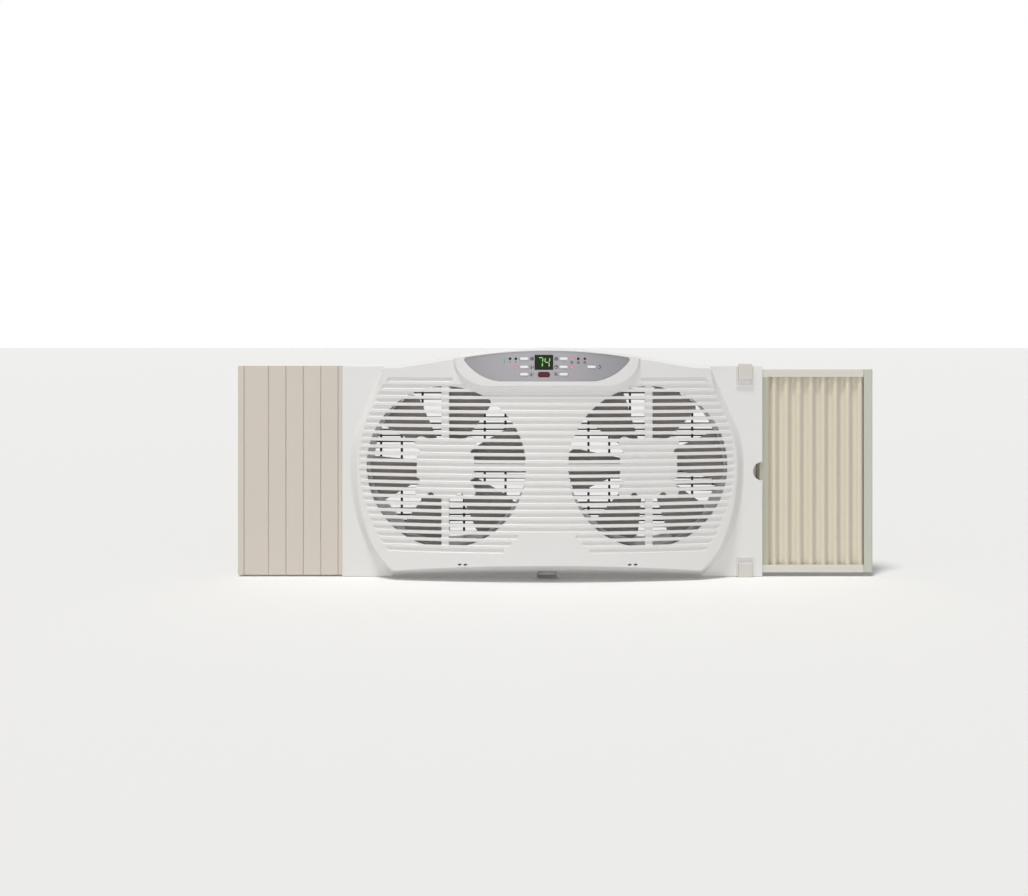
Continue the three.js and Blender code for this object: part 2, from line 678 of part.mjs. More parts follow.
// ---------------------------------------------------------------- lock clips
const CLIP_X = FLANGE_RIGHT - CLIP.inset;
const CLIP_LEFT = CLIP_X - CLIP.width / 2;
const CLIP_RIGHT = CLIP_X + CLIP.width / 2;
const CLIP_FOOT = {
  left: CLIP_X - CLIP_FOOT_WIDTH / 2,
  right: CLIP_X + CLIP_FOOT_WIDTH / 2,
  front: FLANGE_BACK + 3,
  back: FLANGE_BACK + 8,
};
const CLIP_TOP = RAIL_TOP + FIT + CLIP.travel + CLIP_FINGER;

// Raised rib round three sides of each clip's place on the flange.
function clipPockets() {
  const inner = [CLIP_LEFT - FIT, CLIP_RIGHT + FIT];
  const outer = [inner[0] - POCKET.rib, inner[1] + POCKET.rib];
  const [front, back] = [FLANGE_FRONT - POCKET.proud, FLANGE_FRONT + 0.5];
  const high = FLANGE_HEIGHT - EDGE_ROUND;
  const low = high - POCKET.height;
  const upper = polygon([
    [outer[0], low], [outer[1], low], [outer[1], high], [inner[1], high],
    [inner[1], low + POCKET.rib], [inner[0], low + POCKET.rib], [inner[0], high], [outer[0], high],
  ]);
  const [bottom, top] = [EDGE_ROUND, EDGE_ROUND + POCKET.height];
  const lower = polygon([
    [outer[0], bottom], [inner[0], bottom], [inner[0], top - POCKET.rib], [inner[1], top - POCKET.rib],
    [inner[1], bottom], [outer[1], bottom], [outer[1], top], [outer[0], top],
  ]);
  return [alongY(upper, front, back), alongY(lower, front, back)];
}

// Slots in the rims where the clips' feet reach the rails, deep enough for their travel.
function clipCuts() {
  const upper = block(
    CLIP_FOOT.left - FIT, FLANGE_FRONT - 1, CLIP_TOP - CLIP.skin - CLIP.travel - FIT,
    CLIP_FOOT.right + FIT, CLIP_FOOT.back + FIT, FLANGE_HEIGHT + 1,
  );
  const upperFoot = block(
    CLIP_FOOT.left - FIT, CLIP_FOOT.front - FIT, FLANGE_HEIGHT - WALL - 1,
    CLIP_FOOT.right + FIT, CLIP_FOOT.back + FIT, FLANGE_HEIGHT + 1,
  );
  const lower = block(
    CLIP_LEFT - FIT, FLANGE_FRONT - 1, -1,
    CLIP_RIGHT + FIT, CLIP_FOOT.back + FIT, CLIP.skin + CLIP.travel + FIT,
  );
  return [upper, upperFoot, lower];
}

// Plate in front of the flange, with a narrow finger over its upper edge.
function topClip() {
  const [front, face] = [FLANGE_FRONT - FIT - CLIP.proud, FLANGE_FRONT - FIT];
  const low = CLIP_TOP - CLIP.height;
  const plate = polygon([
    [front + CLIP.edge, low], [face, low], [face, CLIP_TOP], [front + CLIP.edge, CLIP_TOP],
    [front, CLIP_TOP - CLIP.edge], [front, low + CLIP.edge],
  ]);
  const finger = block(
    CLIP_FOOT.left, face - 1, CLIP_TOP - CLIP.skin, CLIP_FOOT.right, CLIP_FOOT.back, CLIP_TOP,
  );
  const foot = block(
    CLIP_FOOT.left, CLIP_FOOT.front, RAIL_TOP + FIT + CLIP.travel,
    CLIP_FOOT.right, CLIP_FOOT.back, CLIP_TOP,
  );
  return joined([alongX(plate, CLIP_LEFT, CLIP_RIGHT), finger, foot]);
}

function bottomClip() {
  const [front, face] = [FLANGE_FRONT - FIT - CLIP.proud, FLANGE_FRONT - FIT];
  const sole = RAIL_BOTTOM - FIT - CLIP.travel;
  const top = CLIP.height - 3;
  const profile = polygon([
    [front + CLIP.edge, 0], [CLIP_FOOT.back, 0], [CLIP_FOOT.back, sole], [face, sole],
    [face, top], [front + CLIP.edge, top], [front, top - CLIP.edge], [front, CLIP.edge],
  ]);
  return alongX(profile, CLIP_LEFT, CLIP_RIGHT);
}

// ---------------------------------------------------------------- control panel
const LENS_FORWARD = BEZEL_PROUD - LENS_RECESS;
const KEY_ROWS = {
  upper: FLANGE_HEIGHT + KEY_RISES.upper,
  middle: FLANGE_HEIGHT + KEY_RISES.middle,
  lower: FLANGE_HEIGHT + KEY_RISES.lower,
};

function faceY(x, forward) {
  return FLANGE_FRONT - forwardReach(x) - forward;
}

function keyPlaces() {
  const left = CLUSTER_X - KEY_COLUMN;
  const right = CLUSTER_X + KEY_COLUMN;
  return {
    key_left_upper: [left, KEY_ROWS.upper],
    key_left_middle: [left, KEY_ROWS.middle],
    key_left_lower: [left, KEY_ROWS.lower],
    key_right_upper: [right, KEY_ROWS.upper],
    key_right_middle: [right, KEY_ROWS.middle],
    key_right_lower: [right, KEY_ROWS.lower],
    key_power: [POWER_KEY_X, KEY_ROWS.middle],
  };
}

function lampPlaces() {
  const upper = LAMP_COLUMNS.map((x) => [CLUSTER_X + x, KEY_ROWS.upper]);
  const middle = [LAMP_COLUMNS[2], LAMP_COLUMNS[3]].map((x) => [
    CLUSTER_X + x, KEY_ROWS.middle - 0.5,
  ]);
  return [...upper, ...middle];
}

function ovalShape(x, z, grow) {
  const [halfWidth, halfHeight] = [KEY.width / 2 + grow, KEY.height / 2 + grow];
  return roundedRectangle(
    x - halfWidth, z - halfHeight, x + halfWidth, z + halfHeight, halfHeight * 0.9, 1,
  );
}

function receiverShape(grow) {
  const [halfWidth, halfHeight] = [RECEIVER.width / 2 + grow, RECEIVER.height / 2 + grow];
  const z = FLANGE_HEIGHT + RECEIVER.rise;
  return roundedRectangle(
    CLUSTER_X - halfWidth, z - halfHeight, CLUSTER_X + halfWidth, z + halfHeight, halfHeight * 0.7, 1,
  );
}

function displayShape(grow) {
  const [halfWidth, halfHeight] = [DISPLAY.width / 2 + grow, DISPLAY.height / 2 + grow];
  const z = FLANGE_HEIGHT + DISPLAY.rise;
  return rectangle(CLUSTER_X - halfWidth, z - halfHeight, CLUSTER_X + halfWidth, z + halfHeight);
}

function controlLens() {
  const sheet = alongY(shapeOf(lensOutline()), -100, 0)
    .intersect(behindFace(-LENS_FORWARD)).subtract(behindFace(LENS_THICKNESS - LENS_FORWARD));
  const keyHoles = Object.values(keyPlaces()).map(([x, z]) => alongY(ovalShape(x, z, FIT), -100, 0));
  const lampHoles = lampPlaces().map(([x, z]) => alongY(disc(x, z, LAMP_RADIUS + FIT, 6), -100, 0));
  const windows = [alongY(displayShape(FIT), -100, 0), alongY(receiverShape(FIT), -100, 0)];
  return cut(sheet, [...keyHoles, ...lampHoles, ...windows]);
}

function windowPane(shape) {
  const front = faceY(CLUSTER_X, LENS_FORWARD) + 0.2;
  return alongY(shape, front, front + LENS_THICKNESS - 0.2);
}

const SWITCH_TOP = BOARD_FRONT - SWITCH_HEIGHT;

function key([x, z]) {
  const lensFront = faceY(x, LENS_FORWARD);
  const lipFront = lensFront + LENS_THICKNESS + FIT + 0.4;
  const cap = alongY(ovalShape(x, z, 0), lensFront - KEY.proud, lipFront + 0.1);
  const lip = alongY(ovalShape(x, z, KEY.lip), lipFront, lipFront + 1);
  const stem = alongY(disc(x, z, KEY_STEM_RADIUS, 6), lipFront + 0.9, SWITCH_TOP - FIT - KEY.travel);
  return joined([cap, lip, stem]);
}

function controlBoard() {
  const { halfWidth, low, high } = CONTROL_BOARD;
  const sheet = alongY(polygon([
    [-halfWidth, low], [halfWidth, low], [halfWidth, high - 7], [halfWidth - 18, high],
    [18 - halfWidth, high], [-halfWidth, high - 7],
  ]), BOARD_FRONT, BOARD_FRONT + BOARD_THICKNESS);
  const inBoard = BOARD_FRONT + BOARD_THICKNESS / 2;
  const half = SWITCH_SIDE / 2;
  const switches = Object.values(keyPlaces()).map(([x, z]) => alongY(
    rectangle(x - half, z - half, x + half, z + half), SWITCH_TOP, inBoard));
  const lamps = lampPlaces().map(([x, z]) => alongY(
    disc(x, z, LAMP_RADIUS, 6), faceY(x, LENS_FORWARD) + FIT, inBoard));
  const paneBack = faceY(CLUSTER_X, LENS_FORWARD) + LENS_THICKNESS;
  const digits = alongY(displayShape(-1.5), paneBack + FIT, inBoard);
  const receiver = alongY(receiverShape(-1), paneBack + FIT, inBoard);
  const back = BOARD_FRONT + BOARD_THICKNESS - 0.2;
  const chip = alongY(rectangle(-12, low + 11, 12, low + 23), back, back + 3.2);
  const socket = alongY(rectangle(40, low + 5, 60, low + 12), back, back + 7.2);
  return joined([sheet, ...switches, ...lamps, digits, receiver, chip, socket]);
}

// ---------------------------------------------------------------- power supply
function powerBoard() {
  const { halfWidth, low, high, front } = POWER_BOARD;
  const sheet = alongY(rectangle(-halfWidth, low, halfWidth, high), front, front + BOARD_THICKNESS);
  const back = front + BOARD_THICKNESS - 0.2;
  const capacitor = turned(
    [[0, back], [5.5, back], [5.5, back + 15], [0, back + 15]], halfWidth - 11, high - 12, 12,
  );
  const relays = [low + 8, low + 28].map((z) => alongY(
    rectangle(3 - halfWidth, z, 17 - halfWidth, z + 10), back, back + 14));
  const terminal = alongY(rectangle(halfWidth - 22, low + 3, halfWidth - 4, low + 12), back, back + 10);
  return joined([sheet, capacitor, ...relays, terminal]);
}

// Laminated core with its coil bulging out on both sides.
function transformer() {
  const front = POWER_BOARD.front + BOARD_THICKNESS + FIT;
  const z = (POWER_BOARD.low + POWER_BOARD.high) / 2 + 0.5;
  const core = alongY(rectangle(-17, z - 14.5, 13, z + 14.5), front, front + 18);
  const coil = alongY(roundedRectangle(-10, z - 19, 6, z + 19, 4, 2), front + 3, front + 24);
  return core.add(coil);
}

// ---------------------------------------------------------------- rear cover
function rearOutline(distance) {
  return roundedRectangle(-BOX.halfWidth + distance, BOX.low + distance,
    BOX.halfWidth - distance, BOX.high - distance, REAR_CORNER - distance, 4);
}

// Guard of one fan: level bars that end in the duct's wall, and upright ones behind them.
function rearGuard(x) {
  const reach = (offset, radius) => Math.sqrt(radius ** 2 - offset ** 2);
  const bars = [];
  const count = Math.floor(OPENING_RADIUS / GUARD_PITCH);
  for (let row = -count; row <= count; row += 1) {
    const z = FAN_Z + row * GUARD_PITCH;
    const half = reach(Math.abs(z - FAN_Z) + GUARD_BAR / 2, DUCT_RADIUS + DUCT_WALL / 2);
    bars.push(block(x - half, DUCT_BACK - GUARD_DEPTH, z - GUARD_BAR / 2,
      x + half, DUCT_BACK, z + GUARD_BAR / 2));
  }
  for (let column = 1; column * GUARD_COLUMN_PITCH < FAN_X + OPENING_RADIUS; column += 1) {
    const middle = Math.sign(x) * column * GUARD_COLUMN_PITCH;
    const half = reach(Math.abs(middle - x) + GUARD_COLUMN / 2, DUCT_RADIUS - GUARD_SHORTER);
    bars.push(block(middle - GUARD_COLUMN / 2, DUCT_BACK, FAN_Z - half,
      middle + GUARD_COLUMN / 2, DUCT_BACK + GUARD_DEPTH, FAN_Z + half));
  }
  return joined(bars);
}

// Round duct that leads the air from the grille to the rear cover, with its guard.
function airDuct(x) {
  const tube = alongY(disc(x, FAN_Z, DUCT_OUTER, DUCT_STEPS), DUCT_FRONT, DUCT_BACK)
    .subtract(alongY(disc(x, FAN_Z, DUCT_RADIUS, DUCT_STEPS), DUCT_FRONT - 1, DUCT_BACK + 1));
  return tube.add(rearGuard(x));
}

// Mounting plate and, behind it, the box with its two round openings.
function rearCover() {
  const ring = (distance, y) => rearOutline(distance).getPoints()
    .map((point) => new THREE.Vector3(point.x, y, point.y));
  const shell = loft([ring(4, REAR_DEPTH), ring(0, REAR_DEPTH - 5), ring(0, PLATE_FRONT)]);
  const plate = alongY(rectangle(FLANGE_LEFT, 0, FLANGE_RIGHT, FLANGE_HEIGHT), PLATE_FRONT, PLATE_BACK);
  const inside = alongY(rearOutline(REAR_WALL), PLATE_FRONT - 1, REAR_DEPTH - REAR_WALL);
  const bores = [-FAN_X, FAN_X].map((x) => alongY(
    disc(x, FAN_Z, DUCT_RADIUS, DUCT_STEPS), REAR_DEPTH - REAR_WALL - 1, REAR_DEPTH + 1));
  const screwHoles = coverScrewPlaces().map(([x, z]) => alongY(
    disc(x, z, SCREW.shank + FIT, 6), PLATE_FRONT - 1, PLATE_BACK + 1));
  const glandHole = alongX(
    disc(GLAND.y, GLAND.z, GLAND.neck + FIT, 8), BOX.halfWidth - 6, BOX.halfWidth + 6,
  );
  const tray = cut(joined([shell, plate]), [inside, ...bores]);
  return cut(joined([tray, ...railGuides(), ...rearFeet()]), [...screwHoles, glandHole]);
}

// Ledges on the plate above and below each rail. Three run on under the flange's edge,
// and two stop short of the clips' feet.
function railGuides() {
  const left = RAIL_INNER_END - 5;
  const [short, long] = [CLIP_LEFT - 3, FLANGE_RIGHT - 3];
  const ledge = (low, high, right) => block(
    left, FLANGE_BACK + FIT, low, right, PLATE_FRONT + 0.5, high);
  return [
    ledge(RAIL_TOP + FIT, RAIL_TOP + FIT + GUIDE, short),
    ledge(RAIL_TOP - RAIL_HEIGHT - FIT - GUIDE, RAIL_TOP - RAIL_HEIGHT - FIT, long),
    ledge(RAIL_BOTTOM + RAIL_HEIGHT + FIT, RAIL_BOTTOM + RAIL_HEIGHT + FIT + GUIDE, long),
    ledge(WALL + FIT, RAIL_BOTTOM - FIT, short),
  ];
}

// Ribs under the box that stand on the sill.
function rearFeet() {
  return FEET.map((x) => block(
    x - FOOT_WIDTH / 2, PLATE_FRONT, 0, x + FOOT_WIDTH / 2, REAR_DEPTH - 2, BOX.low + 1));
}

const GLAND = { y: 30, z: 96, neck: 6, bore: 3.4 };

// Bushing where the mains lead enters, through the right wall of the rear cover.
function cordGland() {
  const { neck, bore } = GLAND;
  const [wallInner, wallOuter] = [BOX.halfWidth - REAR_WALL - FIT, BOX.halfWidth + FIT];
  const profile = [
    [bore, wallInner - 2], [neck + 2.5, wallInner - 2], [neck + 2.5, wallInner], [neck, wallInner],
    [neck, wallOuter], [neck + 3, wallOuter], [neck + 3, wallOuter + 1.6],
    [bore + 1.6, wallOuter + 9], [bore, wallOuter + 9], [bore, wallInner - 2],
  ];
  const points = profile.map(([radius, x]) => new THREE.Vector2(radius, x));
  const geometry = new THREE.LatheGeometry(points, 8);
  geometry.rotateZ(-Math.PI / 2);
  geometry.translate(0, GLAND.y, GLAND.z);
  return solid(geometry);
}

// ---------------------------------------------------------------- motors
const CUP_DEPTH = 6.5;
const STATOR_FRONT = MOTOR_FRONT + FIT + MOTOR_SHEET + CUP_DEPTH + FIT;
const STATOR_BACK = STATOR_FRONT + STATOR_LENGTH;
const REAR_CUP_BACK = STATOR_BACK + FIT + CUP_DEPTH - 1.5 + MOTOR_SHEET;
const BEARING_HUB = BEARING_RADIUS + FIT + 2.2;
const SHAFT_BORE = SHAFT_RADIUS + 0.4;

// End bracket: a shallow cup with a hub that holds the bearing.
function bracketCup(x, outerFace, innerRim) {
  const step = Math.sign(innerRim - outerFace);
  const sheet = outerFace + step * MOTOR_SHEET;
  const hubOut = outerFace - step * 3;
  const pocket = BEARING_RADIUS + FIT;
  return turned([
    [pocket, hubOut], [BEARING_HUB, hubOut], [BEARING_HUB, outerFace],
    [MOTOR_CUP_RADIUS - 3, outerFace], [MOTOR_CUP_RADIUS, outerFace + step * 3],
    [MOTOR_CUP_RADIUS, innerRim], [MOTOR_CUP_RADIUS - 2.2, innerRim],
    [MOTOR_CUP_RADIUS - 2.2, sheet], [pocket, sheet], [pocket, hubOut],
  ], x, FAN_Z, MOTOR_STEPS);
}

function frontBracket(x) {
  const face = MOTOR_FRONT + FIT;
  const reach = HUB_LOBE * Math.SQRT2;
  const bar = (degrees) => {
    const geometry = extruded(roundedRectangle(-reach - 6, -6, reach + 6, 6, 4, 1), MOTOR_SHEET);
    geometry.rotateZ(THREE.MathUtils.degToRad(degrees));
    geometry.rotateX(Math.PI / 2);
    geometry.translate(x, face + MOTOR_SHEET, FAN_Z);
    return solid(geometry);
  };
  const middle = alongY(disc(x, FAN_Z, BEARING_HUB - 0.5, MOTOR_STEPS), face - 8, face + 8);
  const ears = cut(joined([bar(45), bar(-45)]), [middle]);
  const holes = motorScrewPlaces().map(([u, v]) => alongY(
    disc(u, v, SCREW.shank + FIT, 6), face - 1, face + 5));
  return cut(ears.add(bracketCup(x, face, STATOR_FRONT - FIT)), holes);
}

function rearBracket(x) {
  return bracketCup(x, REAR_CUP_BACK, STATOR_BACK + FIT);
}

function stator(x) {
  const core = alongY(disc(x, FAN_Z, STATOR_RADIUS, 8, 22.5), STATOR_FRONT, STATOR_BACK);
  return core.subtract(alongY(
    disc(x, FAN_Z, MOTOR_CUP_RADIUS - 3, MOTOR_STEPS), STATOR_FRONT - 1, STATOR_BACK + 1));
}

function winding(x) {
  const [inner, outer] = [ROTOR_RADIUS + 3 * RUNNING_GAP, MOTOR_CUP_RADIUS - 3.5 - FIT];
  return turnedRing(inner, outer, STATOR_FRONT - 4, STATOR_BACK + 3, x, FAN_Z, MOTOR_STEPS);
}

const FRONT_BEARING = [MOTOR_FRONT + FIT - 2.6, MOTOR_FRONT + FIT + 2.4];
const REAR_BEARING = [REAR_CUP_BACK - 2.4, REAR_CUP_BACK + 2.6];
const PROP_BACK = 16.4;
const SHAFT_END = PROP_BACK + FIT + 5;

function bearing(x, [front, back]) {
  return turnedRing(SHAFT_BORE, BEARING_RADIUS, front, back, x, FAN_Z, MOTOR_STEPS);
}

function rotor(x) {
  return turned([
    [0, FRONT_BEARING[0] - 1], [SHAFT_RADIUS, FRONT_BEARING[0] - 1], [SHAFT_RADIUS, STATOR_FRONT],
    [ROTOR_RADIUS, STATOR_FRONT], [ROTOR_RADIUS, STATOR_BACK], [SHAFT_RADIUS, STATOR_BACK],
    [SHAFT_RADIUS, SHAFT_END], [0, SHAFT_END],
  ], x, FAN_Z, 12);
}

// ---------------------------------------------------------------- propellers
const HUB = { radius: 30, wall: 2.2, front: REAR_CUP_BACK + RUNNING_GAP + 0.2, boss: 6.5 };

// One blade: sections at growing radii, each an arc cambered and pitched, lofted into
// a closed skin.
function blade(middleDegrees) {
  const stations = [HUB.radius - HUB.wall * 0.6, 54, 84, 107, BLADE_RADIUS];
  const chordSteps = 3;
  const grid = (side) => stations.map((radius, station) => {
    const outward = (radius - stations[0]) / (BLADE_RADIUS - stations[0]);
    const swing = station === stations.length - 1 ? BLADE_HALF_ANGLE * 0.82 : BLADE_HALF_ANGLE;
    const axial = THREE.MathUtils.lerp(16, 25, outward);
    const backEdge = PROP_BACK - 1.5;
    const row = [];
    for (let i = 0; i <= chordSteps; i += 1) {
      const share = (2 * i) / chordSteps - 1;
      const angle = THREE.MathUtils.degToRad(middleDegrees + share * swing);
      const camber = 2.5 * (1 - share * share);
      const y = backEdge - axial * (1 - share) / 2 + camber - BLADE_THICKNESS * side;
      row.push(new THREE.Vector3(radius * Math.cos(angle), y, radius * Math.sin(angle)));
    }
    return row;
  });
  const [rear, front] = [grid(0), grid(1)];
  const width = chordSteps + 1;
  const height = stations.length;
  const corners = [...rear.flat(), ...front.flat()].flatMap((point) => point.toArray());
  const at = (layer, station, i) => (layer * height + station) * width + i;
  const index = [];
  const quad = (a, b, c, d) => index.push(a, b, c, a, c, d);
  for (let s = 0; s + 1 < height; s += 1) {
    for (let i = 0; i + 1 < width; i += 1) {
      quad(at(0, s, i), at(0, s, i + 1), at(0, s + 1, i + 1), at(0, s + 1, i));
      quad(at(1, s, i), at(1, s + 1, i), at(1, s + 1, i + 1), at(1, s, i + 1));
    }
    quad(at(0, s, 0), at(0, s + 1, 0), at(1, s + 1, 0), at(1, s, 0));
    const last = width - 1;
    quad(at(0, s, last), at(1, s, last), at(1, s + 1, last), at(0, s + 1, last));
  }
  for (let i = 0; i + 1 < width; i += 1) {
    quad(at(0, 0, i), at(1, 0, i), at(1, 0, i + 1), at(0, 0, i + 1));
    const tip = height - 1;
    quad(at(0, tip, i), at(0, tip, i + 1), at(1, tip, i + 1), at(1, tip, i));
  }
  const geometry = new THREE.BufferGeometry();
  geometry.setAttribute('position', new THREE.Float32BufferAttribute(corners, 3));
  geometry.setIndex(index);
  return solid(geometry);
}

// Built about the fan's axis; the mesh is placed by its position.
function propeller(phase) {
  const blades = [];
  for (let i = 0; i < BLADE_COUNT; i += 1) {
    blades.push(blade(phase + (360 * i) / BLADE_COUNT));
  }
  const inner = HUB.radius - HUB.wall;
  const bossFront = REAR_CUP_BACK + 3 + RUNNING_GAP + 0.2;
  const hub = turned([
    [SHAFT_BORE, bossFront], [HUB.boss, bossFront], [HUB.boss, PROP_BACK - HUB.wall],
    [inner, PROP_BACK - HUB.wall], [inner, HUB.front], [HUB.radius, HUB.front],
    [HUB.radius, PROP_BACK - 3], [HUB.radius - 3, PROP_BACK], [SHAFT_BORE, PROP_BACK],
    [SHAFT_BORE, bossFront],
  ], 0, 0, ROUND_STEPS);
  return joined([...blades, hub]);
}

function propNut(x) {
  const outer = alongY(disc(x, FAN_Z, 6.4, 6), PROP_BACK + FIT, SHAFT_END - 0.6);
  return outer.subtract(alongY(disc(x, FAN_Z, SHAFT_BORE, MOTOR_STEPS), PROP_BACK, SHAFT_END + 1));
}

// ---------------------------------------------------------------- screws
// Pan head at the back, shank towards the front.
function screw(x, z, headFront) {
  const { shank, head, headHeight, length } = SCREW;
  return turned([
    [0, headFront - length], [shank, headFront - length + 1], [shank, headFront], [head, headFront],
    [head * 0.8, headFront + headHeight], [0, headFront + headHeight],
  ], x, z, 6);
}

// ---------------------------------------------------------------- extender
const RAIL_FRONT = FLANGE_BACK + FIT;
const RAIL_BACK = RAIL_FRONT + RAIL_DEPTH;
const STILE_LEFT = EXTENDER_RIGHT - STILE_WIDTH;
const CURTAIN_LEFT = FLANGE_RIGHT + INNER_STILE.shown + FIT;

// Channel rail that opens towards the curtain: up is 1 for the upper rail.
function rail(edge, up) {
  const inner = edge - up * RAIL_HEIGHT;
  const floor = edge - up * RAIL_SKIN * 2;
  return alongX(polygon([
    [RAIL_FRONT, edge], [RAIL_BACK, edge], [RAIL_BACK, inner], [RAIL_BACK - RAIL_SKIN, inner],
    [RAIL_BACK - RAIL_SKIN, floor], [RAIL_FRONT + RAIL_SKIN, floor], [RAIL_FRONT + RAIL_SKIN, inner],
    [RAIL_FRONT, inner],
  ]), RAIL_INNER_END, STILE_LEFT - FIT);
}

function endStile() {
  const [left, right] = [STILE_LEFT, EXTENDER_RIGHT];
  const pocket = left + STILE_POCKET;
  return alongZ(polygon([
    [left, RAIL_FRONT], [right - 1.5, RAIL_FRONT], [right, RAIL_FRONT + 1.5], [right, RAIL_BACK],
    [left, RAIL_BACK], [left, RAIL_BACK - RAIL_SKIN], [pocket, RAIL_BACK - RAIL_SKIN],
    [pocket, RAIL_FRONT + RAIL_SKIN], [left, RAIL_FRONT + RAIL_SKIN],
  ]), RAIL_BOTTOM, RAIL_TOP);
}

// Upright at the flange's edge that the curtain's inner end is fixed to.
function innerStile() {
  const [left, right] = [FLANGE_RIGHT - INNER_STILE.lap, FLANGE_RIGHT + INNER_STILE.shown];
  const front = RAIL_FRONT + 0.2;
  const gap = RAIL_HEIGHT + FIT * 2 + GUIDE + FIT;
  return alongZ(polygon([
    [left, RIM_BACK - 4], [left + 4, front], [right, front], [right, front + RAIL_SKIN],
    [right - 3, front + RAIL_SKIN + 0.8], [right - 3, RIM_BACK], [left, RIM_BACK],
  ]), RAIL_BOTTOM + gap, RAIL_TOP - gap);
}

function pleatedCurtain() {
  const [start, end] = [CURTAIN_LEFT, STILE_LEFT + STILE_POCKET - FIT];
  const front = RAIL_FRONT + RAIL_SKIN + FIT;
  const pitch = (end - start) / PLEATS;
  const face = [];
  for (let i = 0; i <= PLEATS * 2; i += 1) {
    const valley = i % 2 === 0;
    face.push([start + (pitch * i) / 2, front + (valley ? PLEAT_DEPTH - PLEAT_SHEET : 0)]);
  }
  const rear = face.map(([x, y]) => [x, y + PLEAT_SHEET]).reverse();
  const low = RAIL_BOTTOM + RAIL_HEIGHT - PLEAT_TUCK;
  const high = RAIL_TOP - RAIL_HEIGHT + PLEAT_TUCK;
  return alongZ(polygon([...face, ...rear]), low, high);
}

// ---------------------------------------------------------------- filler panel
function leftPanel() {
  const front = FLANGE_BACK + FIT;
  const back = front + PANEL_THICKNESS;
  const inner = FLANGE_LEFT + PANEL_TONGUE;
  const scores = [PANEL_LEFT + END_STRIP, PANEL_LEFT + END_STRIP + WIDE_SLAT];
  while (scores.at(-1) + SLAT_PITCH < FLANGE_LEFT) {
    scores.push(scores.at(-1) + SLAT_PITCH);
  }
  const scored = (edge, depth) => scores.flatMap((x) => [
    [x - SCORE / 2, edge], [x, edge + depth], [x + SCORE / 2, edge],
  ]);
  const face = scored(front, SCORE);
  const rear = scored(back, -SCORE).reverse();
  const bead = RIM_BACK;
  const body = alongZ(polygon([
    [PANEL_LEFT, front + 1], [PANEL_LEFT + 1, front], ...face, [inner, front], [inner, bead],
    [inner - 10, bead], [inner - 10, back], ...rear, [PANEL_LEFT, back],
  ]), PANEL_SHORTER.below, FLANGE_HEIGHT - PANEL_SHORTER.above);
  const shoulders = [
    block(FLANGE_LEFT - 1, -40, -5, inner + 5, 5, WALL + FIT),
    block(FLANGE_LEFT - 1, -40, FLANGE_HEIGHT - WALL - FIT, inner + 5, 5, FLANGE_HEIGHT + 5),
  ];
  return cut(body, shoulders);
}

// ---------------------------------------------------------------- assembly
const fan = new THREE.Group();

function place(name, body, material, x = 0, z = 0) {
  const { vertProperties, triVerts } = body.getMesh();
  const geometry = new THREE.BufferGeometry();
  geometry.setAttribute('position', new THREE.BufferAttribute(vertProperties, 3));
  geometry.setIndex(new THREE.BufferAttribute(triVerts, 1));
  geometry.computeVertexNormals();
  const mesh = new THREE.Mesh(geometry, material);
  mesh.name = name;
  mesh.position.set(x, 0, z);
  fan.add(mesh);
}

place('front_cover', frontCover(), WHITE);
place('control_lens', controlLens(), SILVER);
place('display_window', windowPane(displayShape(0)), DISPLAY_BLACK);
place('receiver_window', windowPane(receiverShape(0)), RECEIVER_RED);
for (const [name, at] of Object.entries(keyPlaces())) {
  place(name, key(at), KEY_WHITE);
}
place('control_board', controlBoard(), BOARD_GREEN);
place('power_board', powerBoard(), BOARD_GREEN);
place('transformer', transformer(), LAMINATION);
place('rear_cover', rearCover(), WHITE);
place('air_duct_left', airDuct(-FAN_X), CHARCOAL);
place('air_duct_right', airDuct(FAN_X), CHARCOAL);
place('cord_gland', cordGland(), RUBBER);

for (const [side, x] of [['left', -FAN_X], ['right', FAN_X]]) {
  place(`motor_front_bracket_${side}`, frontBracket(x), STEEL);
  place(`motor_rear_bracket_${side}`, rearBracket(x), STEEL);
  place(`motor_stator_${side}`, stator(x), LAMINATION);
  place(`motor_winding_${side}`, winding(x), COPPER);
  place(`front_bearing_${side}`, bearing(x, FRONT_BEARING), STEEL);
  place(`rear_bearing_${side}`, bearing(x, REAR_BEARING), STEEL);
  place(`rotor_${side}`, rotor(x), STEEL);
  place(`propeller_${side}`, propeller(BLADE_PHASE[side]), BLADE_GREY, x, FAN_Z);
  place(`propeller_nut_${side}`, propNut(x), STEEL);
}
motorScrewPlaces().forEach(([x, z], i) => {
  place(`motor_screw_${i + 1}`, screw(x, z, MOTOR_SCREW_HEAD), STEEL);
});
coverScrewPlaces().forEach(([x, z], i) => {
  place(`cover_screw_${i + 1}`, screw(x, z, PLATE_BACK + FIT), STEEL);
});

place('extender_top_rail', rail(RAIL_TOP, 1), BEIGE);
place('extender_bottom_rail', rail(RAIL_BOTTOM, -1), BEIGE);
place('extender_end_stile', endStile(), BEIGE);
place('curtain_inner_stile', innerStile(), BEIGE);
place('pleated_curtain', pleatedCurtain(), BEIGE);
place('filler_panel', leftPanel(), BEIGE);
place('lock_clip_top', topClip(), CLIP_GREY);
place('lock_clip_bottom', bottomClip(), CLIP_GREY);

export default fan;
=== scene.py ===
import json
import math
import random

